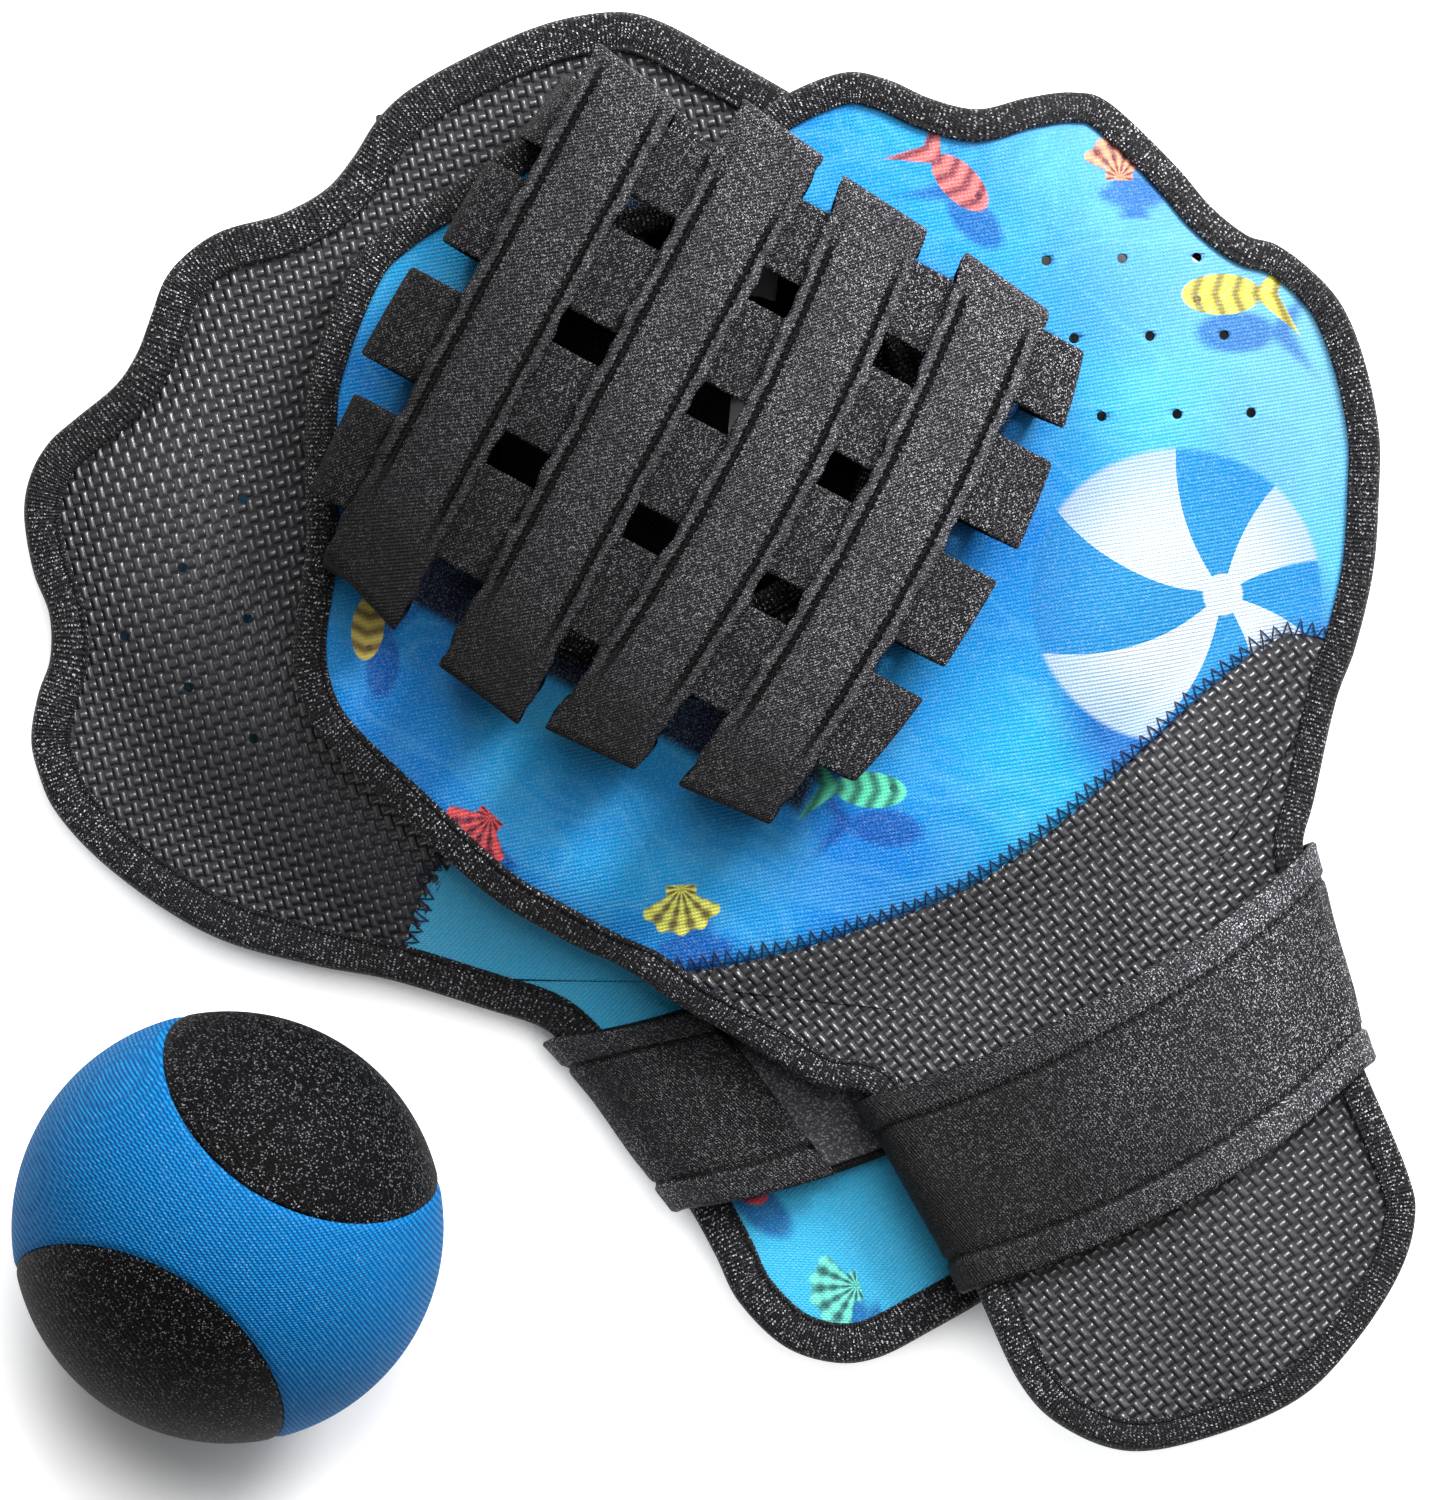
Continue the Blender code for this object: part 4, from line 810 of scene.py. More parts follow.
def ball_cover(name, turn_over, look, slot, teeth):
    """One of the two like covers: arcs from seam to seam, over the outside and back inside.

    The skin sinks by a bell of the distance to the seam, and its edge may be toothed.
    """
    places = np.linspace(0.75 * math.pi, 1.75 * math.pi, COVER_ARCS)[1:-1]
    one_side, other_side = seam_curve(places), seam_curve(-math.pi / 2 - places)
    middle = unit(one_side + other_side)
    half_angle = np.arccos(np.clip(np.sum(one_side * middle, axis=1), -1, 1))
    outward = unit(one_side - middle * np.cos(half_angle)[:, None])
    tooth = teeth * (np.abs((travelled(one_side * BALL_RADIUS) / 2.3) % 1.0 - 0.5) * 2 - 0.3)
    kept = np.maximum(half_angle + (tooth - COVER_SEAM / 2) / BALL_RADIUS, 0.001)[:, None]
    spread = np.linspace(-1, 1, COVER_STEPS)
    angles = kept * np.sign(spread) * (1 - (1 - np.abs(spread)) ** 1.25)
    skin = middle[:, None] * np.cos(angles)[..., None] + outward[:, None] * np.sin(angles)[..., None]
    if turn_over:
        skin = np.stack([skin[..., 1], -skin[..., 0], -skin[..., 2]], axis=-1)
    from_seam = (kept - np.abs(angles)) * BALL_RADIUS
    sink = 0.45 * np.exp(-((from_seam / 0.9) ** 2)) - 0.02 * (teeth > 0)
    over, under = on_ball(skin, BALL_RADIUS - sink), on_ball(skin, BALL_RADIUS - COVER)
    along = np.broadcast_to(travelled(middle * BALL_RADIUS)[:, None], angles.shape)
    flat = np.stack([along, angles * BALL_RADIUS], axis=-1)
    uv = np.concatenate([flat, flat[:, ::-1], flat[:, :1]], axis=1)
    mesh = capped_mesh(name, np.concatenate([over, under[:, ::-1]], axis=1), uv)
    add_piece(name + "_cloth", mesh, [look], slot, name)


# Node trees


def srgb(colour):
    """A colour as seen on a screen, 0 to 255, in the linear values that shaders take."""
    values = np.array(colour) / 255
    return np.where(values < 0.04045, values / 12.92, ((values + 0.055) / 1.055) ** 2.4).tolist()


class Value:
    """What a node puts out; arithmetic with it adds Math nodes to its tree."""

    def __init__(self, net, socket):
        self.net = net
        self.socket = socket

    def __add__(self, other):
        return self.net.math("ADD", self, other)

    def __sub__(self, other):
        return self.net.math("SUBTRACT", self, other)

    def __rsub__(self, other):
        return self.net.math("SUBTRACT", other, self)

    def __mul__(self, other):
        return self.net.math("MULTIPLY", self, other)

    def __truediv__(self, other):
        return self.net.math("DIVIDE", self, other)

    def __mod__(self, other):
        return self.net.math("FLOORED_MODULO", self, other)

    def __pow__(self, other):
        return self.net.math("POWER", self, other)

    def __abs__(self):
        return self.net.math("ABSOLUTE", self)


class Net:
    """Short words for adding nodes to a tree; colours are given as seen on a screen."""

    def __init__(self, tree):
        self.tree = tree

    def feed(self, socket, value):
        if isinstance(value, Value):
            self.tree.links.new(value.socket, socket)
        elif socket.type == "RGBA":
            socket.default_value = (*srgb(value), 1.0)
        else:
            socket.default_value = value

    def node(self, kind, output=0, settings=None, **inputs):
        """Adds a node, and gives one of its outputs."""
        made = self.tree.nodes.new("ShaderNode" + kind)
        for key, value in (settings or {}).items():
            setattr(made, key, value)
        for socket, value in inputs.items():
            self.feed(made.inputs[socket.replace("_", " ")], value)
        return Value(self, made.outputs[output])

    def math(self, operation, *values, kind="Math"):
        made = self.node(kind, 0, {"operation": operation})
        for socket, value in zip(made.socket.node.inputs, values):
            self.feed(socket, value)
        return made

    def vector(self, operation, *values):
        return self.math(operation, *values, kind="VectorMath")

    def maximum(self, first, second):
        return self.math("MAXIMUM", first, second)

    def far(self, x, y):
        """The square root of x * x + y * y."""
        return self.math("SQRT", x * x + y * y)

    def split(self, vector):
        made = self.node("SeparateXYZ", Vector=vector)
        return [Value(self, part) for part in made.socket.node.outputs]

    def join(self, x, y, z=0.0):
        return self.node("CombineXYZ", X=x, Y=y, Z=z)

    def turned(self, place, turn):
        return self.node("VectorRotate", 0, {"rotation_type": "Z_AXIS"}, Vector=place, Angle=turn)

    def soft_step(self, value, low, high):
        """0 below low, 1 above high, smooth between."""
        smooth = {"interpolation_type": "SMOOTHSTEP"}
        return self.node("MapRange", 0, smooth, Value=value, From_Min=low, From_Max=high)

    def inside(self, value, soft):
        """1 where the value is above zero, softened to both sides."""
        return self.soft_step(value, soft * -1.0, soft)

    def mix(self, share, first, second):
        made = self.node("Mix", 2, {"data_type": "RGBA"})
        for index, value in ((0, share), (6, first), (7, second)):
            self.feed(made.socket.node.inputs[index], value)
        return made

    def noise(self, place, scale, detail=2.0, rough=0.5, distortion=0.0):
        return self.node(
            "TexNoise", Vector=place, Scale=scale, Detail=detail, Roughness=rough, Distortion=distortion
        )

    def group(self, group, **inputs):
        """Adds a node group, and gives its outputs by name."""
        made = self.node("Group", 0, {"node_tree": group}, **inputs)
        return {part.name: Value(self, part) for part in made.socket.node.outputs}


def new_group(build, *inputs):
    """A node group named after the function that builds it from its inputs.

    The function takes the group's Net and its inputs, and gives its outputs by name.
    """
    group = bpy.data.node_groups.new(build.__name__, "ShaderNodeTree")
    for label in inputs:
        kind = "NodeSocketVector" if label in ("Place", "Centre") else "NodeSocketFloat"
        group.interface.new_socket(label, in_out="INPUT", socket_type=kind)
    net = Net(group)
    given = group.nodes.new("NodeGroupInput").outputs
    made = build(net, *(Value(net, given[label]) for label in inputs))
    for label in made:
        group.interface.new_socket(label, in_out="OUTPUT", socket_type="NodeSocketFloat")
    sink = group.nodes.new("NodeGroupOutput").inputs
    for label, value in made.items():
        net.feed(sink[label], value)
    return group


def sparkle(net, place, size, rarity):
    """Flecks: random cells of a cubic grid, each as bright as its own random value."""
    scaled = net.vector("DIVIDE", place, net.join(size, size, size))
    wobble = net.node("TexNoise", 1, Vector=scaled, Scale=0.35, Detail=0.0)
    cell = net.vector("FLOOR", net.vector("ADD", scaled, wobble))
    random = net.node("TexWhiteNoise", Vector=cell)
    return {"Fleck": net.soft_step(random, rarity, 1.0), "Grain": random}


def knit(net, place, turn, pitch, loop):
    """Ribs of a knit: sines across the ribs, broken along them by a finer sine."""
    x, y, _ = net.split(net.turned(place, turn))
    zig = net.math("PINGPONG", y / loop, 0.5) * (pitch * 0.5)
    across = net.math("SINE", (x + zig) / pitch * TAU)
    along = net.math("SINE", y / loop * TAU)
    return {"Height": (across * 0.5 + 0.5) * (along * 0.22 + 0.78)}


def basket(net, place, turn):
    """Embossed basket weave: fat bars one way and thin ones the other, in turn."""
    x, y, _ = net.split(net.turned(place, turn))
    s, t = x / BASKET_PITCH[0], y / BASKET_PITCH[1]
    thin_here = (net.math("FLOOR", s) + net.math("FLOOR", t)) % 2.0
    fat_here = 1.0 - thin_here
    s, t = (net.math("FRACT", value) - 0.5 for value in (s, t))

    def dome(value, width, power):
        return net.maximum(1.0 - abs(value / width) ** power, 0.0)

    fat = (dome(t, 0.5, 2.2) * dome(s, 0.62, 4.0)) ** 0.6
    thin = (dome(s, 0.36, 2.0) * dome(t, 0.66, 4.0)) ** 0.6 * 0.8
    height = fat * fat_here + thin * thin_here
    return {"Height": height, "Valley": 1.0 - net.soft_step(height, 0.05, 0.6), "Bar": fat_here}


def own_axes(net, place, centre, turn, size):
    """The place in a motif's own axes, in units of its size."""
    x, y, _ = net.split(net.turned(net.vector("SUBTRACT", place, centre), turn))
    return x / size, y / size


def shell(net, place, centre, turn, size, soft):
    """A scallop: a fan out from its hinge with eleven ribs and a fluted rim."""
    x, y = own_axes(net, place, centre, turn, size)
    far, bearing = net.far(x, y), net.math("ARCTAN2", x, y)
    flute = net.math("COSINE", bearing * 13.0)
    rim = (flute * 0.045 + 0.93) * net.math("COSINE", bearing * 0.35)
    fan = net.inside(rim - far, soft) * net.inside((1.12 - abs(bearing)) * far, soft)
    ears = net.inside(0.3 - net.maximum(abs(x), abs(y - 0.06) * 2.4), soft)
    rings = net.math("SINE", far * 24.0)
    return {"Mask": net.maximum(fan, ears), "Relief": flute * 0.38 + rings * 0.14}


def fish(net, place, centre, turn, size, soft):
    """A little fish: an oval body, a notched tail, stripes and an eye."""
    x, y = own_axes(net, place, centre, turn, size)
    body = net.inside(1.0 - net.far(y / 0.36, (x - 0.15) / 0.72), soft * 1.5)
    wedge = (x + 0.42) * -0.85 + 0.04 - abs(y)
    notch = x + 0.88 + abs(y) * 0.5
    tail = net.inside(wedge, soft) * net.inside(notch, soft)
    stripes = net.math("SINE", (x + abs(y) * 0.4) * 17.0)
    eye = net.soft_step(0.07 - net.far(x - 0.6, y - 0.08), -0.01, 0.01)
    return {"Mask": net.maximum(body, tail), "Relief": stripes * 0.3 - eye * 1.5}


def beach_ball(net, place, centre, turn, size, soft):
    """A ball in swirled gores that meet at a button, its rim in shade."""
    x, y = own_axes(net, place, centre, turn, size)
    far = net.far(x, y)
    pole_x, pole_y = x - 0.16, y - 0.24
    bearing = net.math("ARCTAN2", pole_y, pole_x) + far * 0.35
    parity = net.math("FLOOR", bearing * (8 / TAU)) % 2.0
    past_button = net.soft_step(net.far(pole_x, pole_y), 0.13, 0.15)
    shade = net.soft_step(far, 0.35, 1.05)
    return {"Mask": net.inside(1.0 - far, soft), "Gore": parity * past_button, "Shade": shade}


def stitches(net, place, line, pitch, width):
    """Straight stitches: dashes in a line across V, repeating along U."""
    u, v, _ = net.split(place)
    away = abs(v - line) / width
    phase = net.math("FRACT", u / pitch)
    dash = net.soft_step(phase, 0.08, 0.2) * (1.0 - net.soft_step(phase, 0.8, 0.92))
    near, wide = (1.0 - net.soft_step(away, low, high) for low, high in ((0.35, 0.65), (0.6, 1.2)))
    return {"Thread": dash * near, "Hole": wide * (1.0 - dash)}


SPARKLE = new_group(sparkle, "Place", "Size", "Rarity")
KNIT = new_group(knit, "Place", "Turn", "Pitch", "Break")
BASKET = new_group(basket, "Place", "Turn")
STITCHES = new_group(stitches, "Place", "Line", "Pitch", "Width")
SHELL, FISH, BEACH_BALL = (
    new_group(motif, "Place", "Centre", "Turn", "Size", "Soft") for motif in (shell, fish, beach_ball)
)

MOTIFS = (
    (FISH, (84.0, 82.0), 2.6, 12.0, (244, 206, 40)),
    (SHELL, (52.0, 92.0), -0.5, 9.5, (246, 128, 84)),
    (FISH, (22.0, 76.0), 0.3, 10.5, (240, 92, 80)),
    (FISH, (66.0, -46.0), -0.4, 10.5, (70, 214, 160)),
    (SHELL, (42.0, -82.0), 2.6, 10.5, (246, 214, 60)),
    (SHELL, (0.0, -88.0), 3.4, 10.0, (226, 54, 44)),
    (FISH, (-42.0, -64.0), 1.2, 9.5, (250, 190, 60)),
    (FISH, (160.0, -30.0), 0.9, 11.0, (226, 54, 50)),
    (SHELL, (182.0, -58.0), 0.4, 10.5, (90, 214, 190)),
    (SHELL, (176.0, -18.0), 1.4, 9.0, (246, 180, 210)),
    (FISH, (130.0, -36.0), 2.0, 10.0, (246, 206, 60)),
)


# Materials


class Cloth(Net):
    """A material in layers of colour, patterned by the UV map in millimetres."""

    def __init__(self, name, **constants):
        self.made = bpy.data.materials.new(name)
        self.made.use_nodes = True
        super().__init__(self.made.node_tree)
        self.shader = self.tree.nodes["Principled BSDF"].inputs
        for socket, value in constants.items():
            self.feed(self.shader[socket.replace("_", " ")], value)
        self.place = self.node("UVMap", 0, {"uv_map": "millimetres"})

    def over(self, share, colour):
        """Lays a colour over the base colour, by its share."""
        self.base = self.mix(share, self.base, colour)

    def flecks(self, size, rarity):
        made = self.group(SPARKLE, Place=self.place, Size=size, Rarity=rarity)
        return made["Fleck"], made["Grain"]

    def ribs(self, turn, pitch, loop):
        return self.group(KNIT, Place=self.place, Turn=turn, Pitch=pitch, Break=loop)["Height"]

    def patchy(self, scale, low, high, detail=2.0):
        return self.soft_step(self.noise(self.place, scale, detail), low, high)

    def finished(self, height, depth):
        """Feeds colour and normal; a height of 0 to 1 stands for depth millimetres."""
        self.feed(self.shader["Base Color"], self.base)
        bump = self.node("Bump", Height=height, Strength=1.0, Distance=depth * MM)
        self.feed(self.shader["Normal"], bump)
        return self.made


def print_cloth(name, with_ball):
    """Blue water print on jersey: ripples, shells and fish with soft shadows.

    The front mitt's print has a beach ball too. The rear mitt's is brighter instead, as it
    lies in the front one's shade.
    """
    cloth = Cloth(name, Roughness=0.6, Specular_IOR_Level=0.2)
    place = cloth.place
    x, y, _ = cloth.split(place)
    depth = cloth.noise(place, 0.014, 2.0, 0.5, 0.4)
    ripple = cloth.noise(cloth.vector("MULTIPLY", place, (1.0, 1.7, 1.0)), 0.03, 1.0, 0.4, 1.4)
    caustic = 1.0 - cloth.soft_step(abs(ripple - 0.5), 0.0, 0.09)
    cloth.base = cloth.mix(cloth.soft_step(depth, 0.36, 0.64), (0, 128, 218), (34, 172, 236))
    cloth.over(cloth.soft_step(x * 0.6 + y * 0.8, 60.0, 140.0) * 0.85, (124, 192, 214))
    cloth.over(caustic * 0.13, (120, 214, 255))
    # Painted light: beyond 112 mm across, where the rear mitt's print lies in the front mitt's shade, the
    # print is lightened.
    cloth.over(cloth.soft_step(x, 112.0, 158.0) * 0.75, (30, 196, 255))

    if with_ball:
        across, along, size = BEACH_BALL_AT
        beside = (across + 0.42 * size, along - 0.40 * size, 0.0)
        shade = cloth.group(BEACH_BALL, Place=place, Centre=beside, Turn=0.0, Size=size, Soft=0.22)
        cloth.over(shade["Mask"] * 0.75, (0, 64, 160))
        here = (across, along, 0.0)
        disc = cloth.group(BEACH_BALL, Place=place, Centre=here, Turn=0.4, Size=size, Soft=0.025)
        gores = cloth.mix(disc["Gore"], (216, 230, 238), (34, 140, 208))
        cloth.over(disc["Mask"], cloth.mix(disc["Shade"] * 0.45, gores, (16, 120, 198)))
    else:
        # Painted light: the rear mitt's print is lightened against the front mitt's shade.
        cloth.over(0.55, (84, 214, 255))

    for kind, (across, along), turn, size, _ in MOTIFS:
        beside = (across + 6.5, along - 5.5, 0.0)
        shadow = cloth.group(kind, Place=place, Centre=beside, Turn=turn, Size=size, Soft=0.16)
        cloth.over(shadow["Mask"] * 0.7, (0, 66, 160))
    for kind, (across, along), turn, size, colour in MOTIFS:
        here = (across, along, 0.0)
        shape = cloth.group(kind, Place=place, Centre=here, Turn=turn, Size=size, Soft=0.03)
        light = [min(255, part + 40) for part in colour]
        dark = [part * 0.5 for part in colour]
        tint = cloth.mix(cloth.soft_step(shape["Relief"], -0.5, 0.45), dark, light)
        cloth.over(shape["Mask"], tint)

    # Painted shade: the print under the lattice, round the pocket mouth, is darkened to near black.
    mouth_painted_shade = 1.0 - cloth.soft_step(cloth.maximum(abs(x), abs(y)), *MOUTH_SHADE_FIELD)
    cloth.over(mouth_painted_shade, (16, 16, 19))
    ribs = cloth.ribs(0.9, 0.8, 0.7)
    fleck, grain = cloth.flecks(0.24, 0.6)
    cloth.over((1.0 - ribs) * 0.22, (0, 40, 120))
    cloth.over(fleck * 0.16, (190, 228, 255))
    return cloth.finished(ribs + grain * 0.35, 0.16)


def grip_cloth():
    """Embossed black rubber skin: a basket weave with shiny bars and deep valleys, the bars lightened in
    patches as painted sheen and the valleys darkened as painted shade.
    """
    cloth = Cloth("embossed_black_skin", Specular_IOR_Level=0.95)
    weave = cloth.group(BASKET, Place=cloth.place, Turn=0.35)
    # Painted sheen and shade: the bars are lighter than the black rubber, the valleys near black.
    cloth.base = cloth.mix(weave["Valley"], (56, 56, 60), (1, 1, 2))
    # Painted sheen: lighter patches on the fat bars.
    cloth.over(cloth.patchy(0.05, 0.35, 0.7, 3.0) * (weave["Bar"] * 0.3), (86, 86, 90))
    grain = cloth.noise(cloth.place, 2.4)
    cloth.feed(cloth.shader["Roughness"], weave["Valley"] * 0.6 + 0.24 + grain * 0.08)
    return cloth.finished(weave["Height"] + grain * 0.04, 1.3)


def tape_cloth():
    """Black knit tape: cross ribs with silver glints and a stitch line beside each edge."""
    cloth = Cloth("black_ribbed_tape", Specular_IOR_Level=0.3)
    ribs = cloth.ribs(0.0, 0.95, 0.62)
    fleck, _ = cloth.flecks(0.3, 0.76)
    cloth.base = cloth.mix(ribs, (1, 1, 2), (32, 32, 36))
    glint = fleck * ribs * (cloth.patchy(0.03, 0.35, 0.65) * 0.6 + 0.5)
    cloth.over(glint, (240, 240, 246))
    lines = 0.0
    for line in (1.5, 21.6):
        stitch = cloth.group(STITCHES, Place=cloth.place, Line=line, Pitch=2.4, Width=0.5)
        lines = cloth.maximum(lines, stitch["Thread"])
        cloth.over(stitch["Hole"], (4, 4, 5))
    cloth.over(lines, (26, 26, 30))
    cloth.feed(cloth.shader["Roughness"], 0.75 - glint * 0.35)
    return cloth.finished(ribs + lines * 0.6, 0.3)


def strap_cloth(name, light, dark, grooved):
    """Speckled jersey over neoprene; rolled ridges catch the light beside dark stitched cuts.

    It darkens towards the lower left, where the domed lattice turns from the light, and a
    grooved strap is plain at its ends and dark at the wrist.
    """
    cloth = Cloth(name, Specular_IOR_Level=0.15, Roughness=0.7)
    u, v, _ = cloth.split(cloth.place)
    weave = cloth.ribs(0.78, 0.62, 0.6)
    fleck, grain = cloth.flecks(0.21, 0.8)
    cloth.base = cloth.mix(weave * grain, dark, light)
    cloth.over(fleck * (cloth.patchy(0.05, 0.3, 0.7) * 0.35 + 0.3), SILVER)
    height = weave + grain * 0.6
    if grooved:
        edge = cloth.math("MINIMUM", v, abs(LONG_WIDTH - v))
        before = 1.0 - cloth.soft_step(u, 38.0, 48.0)
        sewn = 1.0 - cloth.maximum(before, cloth.soft_step(u, 142.0, 147.0))
        rolled = cloth.soft_step(edge, 0.3, 1.0) * (1.0 - cloth.soft_step(edge, 1.9, 2.5))
        # Painted highlight along the rolled ridges.
        cloth.over(rolled * (sewn * 0.12), (120, 118, 124))
        ragged = cloth.math("PINGPONG", u / 0.95, 1.0) * 0.55 + cloth.noise(cloth.place, 0.6, 1.0) * 0.5
        cut = (1.0 - cloth.soft_step(abs(edge - 3.0) - ragged, 0.0, 0.25)) * sewn
        cloth.over(before * 0.5, (3, 3, 4))
        cloth.over(cut * 0.93, (3, 3, 4))
        height = height - cut * 2.0
    x, y, _ = cloth.split(cloth.node("TexCoord", "Object"))
    lit = cloth.soft_step(x * 0.9 + y * 0.35, -0.06, 0.1)
    cloth.over((1.0 - lit) * 0.87, BLACK)
    # Painted shade: the strap's underside, past its top face in V, is darkened.
    cloth.over(cloth.math("GREATER_THAN", v, LONG_WIDTH + 3.0 if grooved else 25.0), (9, 9, 11))
    return cloth.finished(height, 0.16)


def band_cloth():
    """Stretch jersey with fine knit and sparkle; each hem stands beyond a sewn furrow.

    U runs along the band: round the hand to the thumb edge at 112, over face A to 206, and
    on to the free end.
    """
    cloth = Cloth("black_stretch_jersey", Specular_IOR_Level=0.2)
    u, v, _ = cloth.split(cloth.place)
    weave, ribs = cloth.ribs(0.2, 0.6, 0.5), cloth.ribs(0.0, 1.0, 0.7)
    fleck, grain = cloth.flecks(0.22, 0.78)
    edge = cloth.math("MINIMUM", v, abs(BAND_WIDTH - v))
    hem = 1.0 - cloth.soft_step(edge, HEM - 0.6, HEM - 0.2)
    cloth.base = cloth.mix(weave * grain, (9, 8, 11), (84, 82, 88))
    cloth.over(hem * (ribs * 0.35), (104, 103, 110))
    amount = fleck * (cloth.patchy(0.045, 0.32, 0.68) * 0.3 + 0.3 + hem * 0.2)
    # Painted shade: the silver flecks are dimmed below 112 along U.
    cloth.over(amount * (cloth.soft_step(u, 100.0, 112.0) * 0.65 + 0.35), SILVER)
    line = cloth.group(STITCHES, Place=cloth.join(u, edge), Line=HEM, Pitch=2.1, Width=0.8)
    cloth.over(cloth.maximum(line["Hole"], line["Thread"] * 0.65), (3, 3, 4))
    # Painted shade: darkest before 112 and much darker past 206 along U, lightest over face A from 190 to
    # 206.
    lit = cloth.soft_step(u, 112.0, 190.0) * (1.0 - cloth.soft_step(u, 206.0, 212.0) * 0.85)
    cloth.over((1.0 - lit) * 0.8, BLACK)
    cloth.feed(cloth.shader["Roughness"], 0.66 - hem * 0.08)
    return cloth.finished(weave + grain * 0.5 + hem * ribs, 0.15)


def pile_cloth(name, light, hooks):
    """Fastener pile: tangled loops, or rows of small stiff hooks."""
    cloth = Cloth(name, Sheen_Weight=0.2, Specular_IOR_Level=0.2, Roughness=0.9)
    if hooks:
        squares = {"distance": "CHEBYCHEV"}
        rows = cloth.node("TexVoronoi", 0, squares, Vector=cloth.place, Scale=1.1, Randomness=0.1)
        height = 1.0 - cloth.soft_step(rows, 0.1, 0.45)
    else:
        height = cloth.noise(cloth.place, 1.7, 4.0, 0.75, 2.5)
    cloth.base = cloth.mix(cloth.soft_step(height, 0.3, 0.75), (8, 8, 9), light)
    # Painted glints on the fibres.
    cloth.over(cloth.flecks(0.3, 0.7)[0] * 0.5, (210, 210, 216))
    return cloth.finished(height, 0.5)


def ball_cloth(name, low, high, glint, share):
    """Stretch cloth of the ball: fine ribs that run one way, and glints on their crests."""
    cloth = Cloth(name, Specular_IOR_Level=0.08, Roughness=0.65)
    from_centre = cloth.vector("SUBTRACT", cloth.node("TexCoord", "Object"), BALL_CENTRE)
    scaled = cloth.vector("DIVIDE", from_centre, (MM, MM, MM))
    cloth.place = cloth.turned(scaled, -0.62)
    fleck, grain = cloth.flecks(0.26, 0.88)
    x, y, height = cloth.split(cloth.place)
    cloth.place = cloth.join(x, y + height * 0.6)
    ribs = cloth.ribs(0.0, 0.92, 0.8)
    cloth.base = cloth.mix(ribs, low, high)
    cloth.over(fleck * (ribs * 0.6 + 0.4) * share, glint)
    return cloth.finished(ribs + grain * 0.3, 0.18)


def plain_detail(name, colour, dark, scale, rough):
    """A finish with fine grain, for threads and foam."""
    cloth = Cloth(name, Roughness=rough)
    grain = cloth.noise(cloth.node("TexCoord", "Object"), scale, 3.0, 0.6)
    cloth.base = cloth.mix(cloth.soft_step(grain, 0.35, 0.65), dark, colour)
    return cloth.finished(grain, 0.08)


# The studio


def softbox(name, place, size, watts):
    """A square lamp that faces the middle of the set."""
    lamp = bpy.data.lights.new(name, "AREA")
    lamp.size = size
    lamp.energy = watts
    made = bpy.data.objects.new(name, lamp)
    made.location = place
    made.rotation_euler = (Vector((0, 0, 0.02)) - Vector(place)).to_track_quat("-Z", "Y").to_euler()
    bpy.context.scene.collection.objects.link(made)


def camera_and_light():
    """A far camera straight above, a soft key from the upper right, a broad lamp and a fill."""
    scene = bpy.context.scene
    scene.view_settings.view_transform = "Standard"
    eye = bpy.data.cameras.new("eye")
    eye.sensor_width = 36.0
    eye.lens = 36.0 * (CAMERA_HEIGHT - BALL_RADIUS * MM) / (PICTURE_HEIGHT * MM)
    eye.clip_end = 10.0
    camera = bpy.data.objects.new("eye", eye)
    camera.location = (SHIFT[0] * MM, SHIFT[1] * MM, CAMERA_HEIGHT)
    scene.collection.objects.link(camera)
    scene.camera = camera
    softbox("key", (0.5, 0.6, 0.62), 0.3, 12.0)
    softbox("broad", (0.3, 0.5, 1.1), 1.1, 13.0)
    softbox("fill", (-0.1, 1.0, 0.8), 0.4, 5.0)

    world = bpy.data.worlds.new("studio")
    scene.world = world
    world.use_nodes = True
    net = Net(world.node_tree)
    back = world.node_tree.nodes["Background"].inputs
    net.feed(back["Color"], WHITE)
    seen = net.maximum(net.node("LightPath", "Is Camera Ray"), net.node("LightPath", "Is Transmission Ray"))
    net.feed(back["Strength"], seen * 0.78 + 0.22)


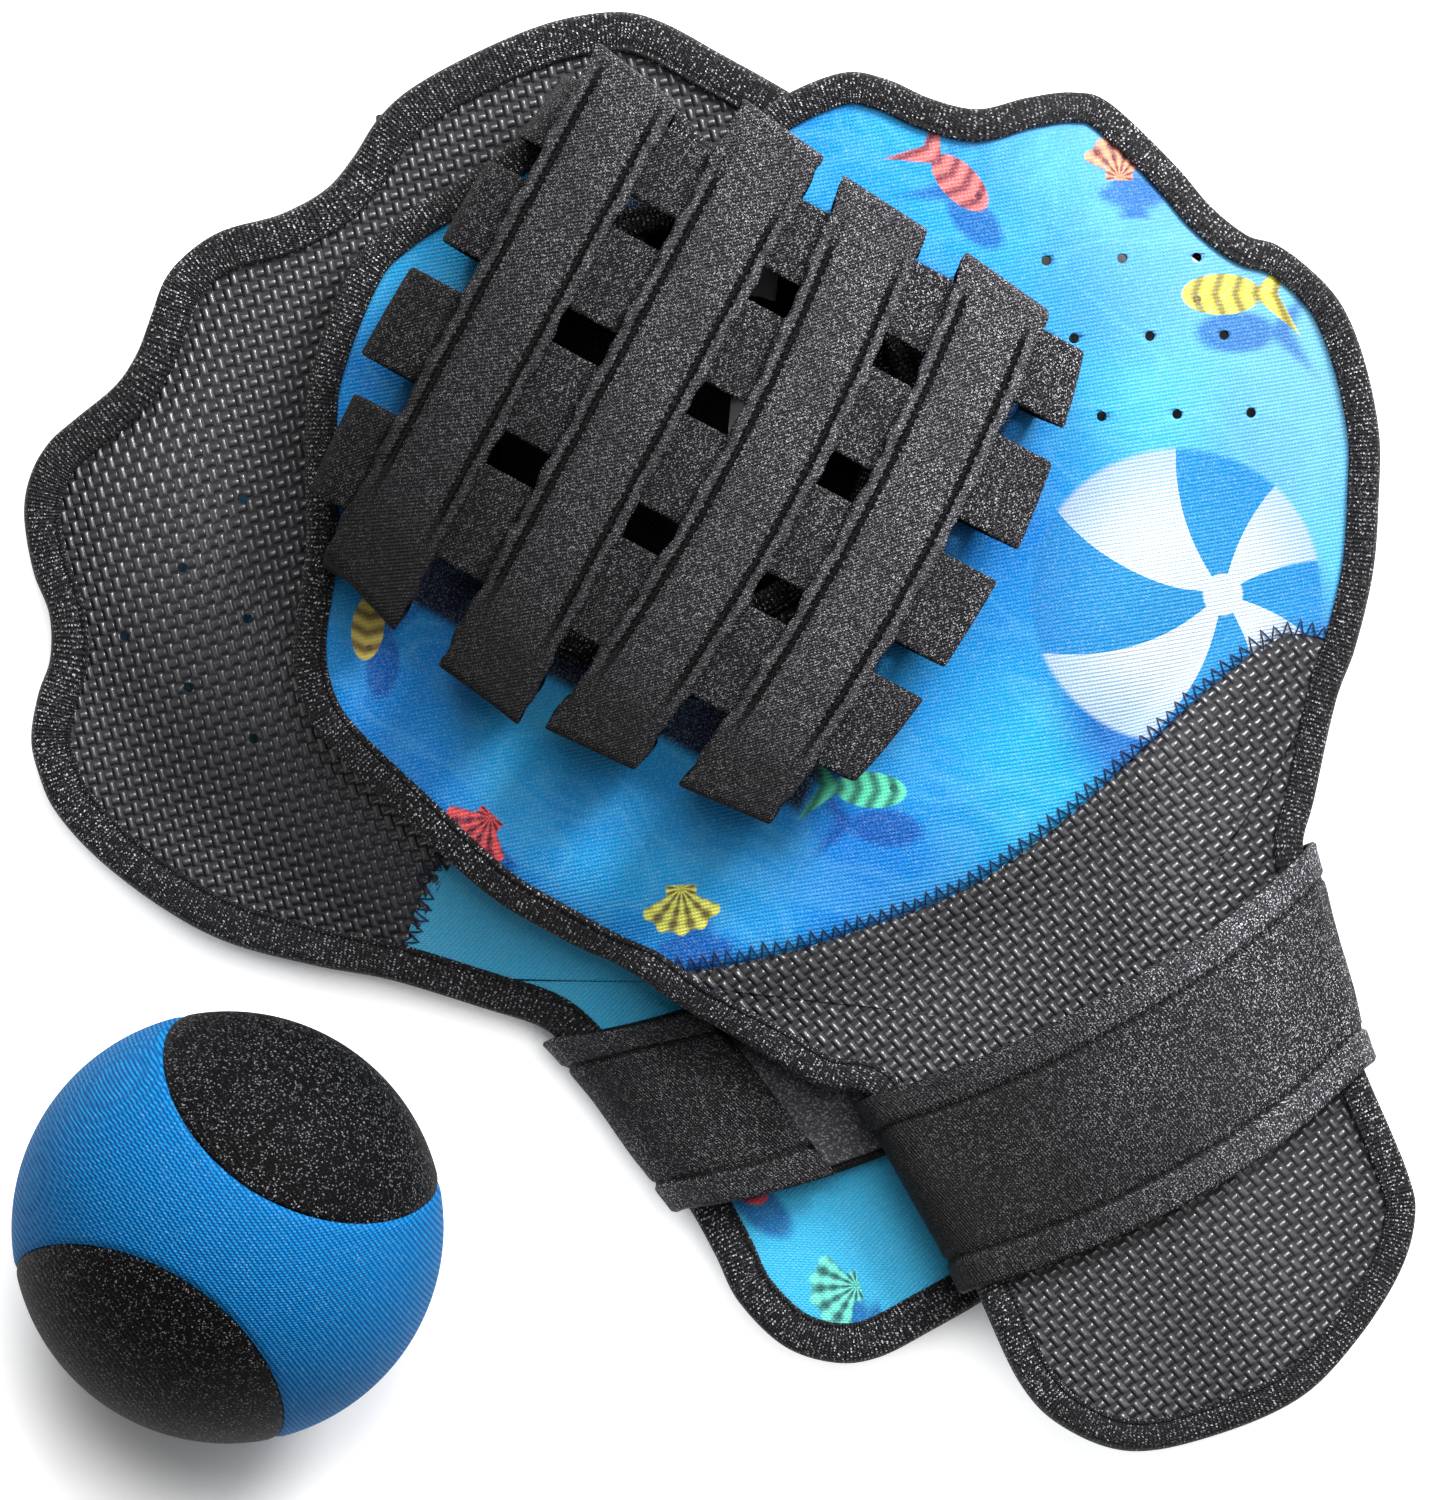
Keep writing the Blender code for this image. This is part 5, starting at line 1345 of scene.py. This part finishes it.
def floor():
    """A wide pale floor that shows white to the camera and keeps the set's shadow.

    Its glow fades by how much open sky it has: softly, and with a long reach at the ball.
    """
    mesh = bpy.data.meshes.new("floor")
    corners = [(x, y, FLOOR_LEVEL) for x, y in ((-3.0, -3.0), (3.0, -3.0), (3.0, 3.0), (-3.0, 3.0))]
    mesh.from_pydata(corners, [], [(0, 1, 2, 3)])
    made = bpy.data.materials.new("pale_floor")
    made.use_nodes = True
    tree = made.node_tree
    net = Net(tree)
    shader = tree.nodes["Principled BSDF"]
    shader.inputs["Roughness"].default_value = 0.9
    shader.inputs["Specular IOR Level"].default_value = 0.1
    shader.inputs["Base Color"].default_value = (0.86, 0.86, 0.86, 1.0)
    seen = net.maximum(net.node("LightPath", "Is Camera Ray"), net.node("LightPath", "Is Glossy Ray"))
    open_sky = net.node("AmbientOcclusion", "AO", {"samples": 8}, Distance=0.09)
    below_ball = (BALL_CENTRE[0], BALL_CENTRE[1] - 0.022, 0.0)
    from_ball = net.vector("SUBTRACT", net.node("TexCoord", "Object"), below_ball)
    far = net.node("VectorMath", "Value", {"operation": "LENGTH"}, Vector=from_ball)
    at_ball = 1.0 - net.soft_step(far, 0.03, 0.062)
    under = net.soft_step(open_sky, 0.24, 0.58)
    lit = under + at_ball * (open_sky**12.0 - under)
    glow = net.node("Emission", Color=WHITE, Strength=seen * (lit * 0.85))
    both = net.node("AddShader").socket.node
    tree.links.new(shader.outputs[0], both.inputs[0])
    tree.links.new(glow.socket, both.inputs[1])
    tree.links.new(both.outputs[0], tree.nodes["Material Output"].inputs["Surface"])
    mesh.materials.append(made)
    piece = bpy.data.objects.new("floor", mesh)
    bpy.context.scene.collection.objects.link(piece)


def main():
    camera_and_light()
    floor()
    looks = {
        "front_print": print_cloth("blue_print_jersey", True),
        "rear_print": print_cloth("blue_print_jersey_in_shade", False),
        "grip": grip_cloth(),
        "binding": tape_cloth(),
        "strap": strap_cloth("speckled_strap_jersey", (126, 123, 130), (13, 13, 15), True),
        "cross": strap_cloth("charcoal_strap_jersey", (90, 88, 94), (7, 7, 9), False),
        "band": band_cloth(),
        # Painted light: the loop pile's light tone is lifted, as the patch lies in shade.
        "loop": pile_cloth("black_loop_pile", (110, 110, 116), False),
        "hook": pile_cloth("black_hook_rows", (40, 40, 43), True),
        "thread": plain_detail("navy_thread", (34, 44, 88), (10, 14, 36), 900.0, 0.6),
    }
    for mitt, pocket in ((FRONT, FRONT_POCKET), (REAR, REAR_POCKET)):
        plan = Plan(mitt)
        hand_panel(mitt, plan, looks)
        wrist_panel(mitt, plan, looks)
        bindings(mitt, plan, looks)
        zigzag_seam(mitt, plan, looks)
        for number in range(4):
            long_strap(mitt, number, looks, pocket)
            cross_strap(mitt, number, looks, pocket)
        rows = BandRows(mitt, plan)
        wrist_band(mitt, rows, looks)
        patch(mitt, rows, "loop_patch", LOOP_PATCH, PATCH_LEVEL, looks["loop"], "black_loop_fastener")
        patch(mitt, rows, "hook_patch", HOOK_PATCH, HOOK_LEVEL, looks["hook"], "black_hook_fastener")
    blue = ball_cloth("blue_ball_jersey", (2, 70, 138), (20, 142, 204), (150, 216, 255), 0.35)
    black = ball_cloth("black_ball_jersey", (1, 1, 2), (8, 8, 10), (226, 226, 234), 0.42)
    ball_cover("ball_cover_blue", False, blue, "blue_ball_cloth", 0.0)
    ball_cover("ball_cover_black", True, black, "black_ball_cloth", 0.55)
    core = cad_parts["ball_core"]
    core.data.materials.clear()
    core.data.materials.append(plain_detail("white_foam", (236, 236, 230), (214, 214, 206), 400.0, 0.8))


main()
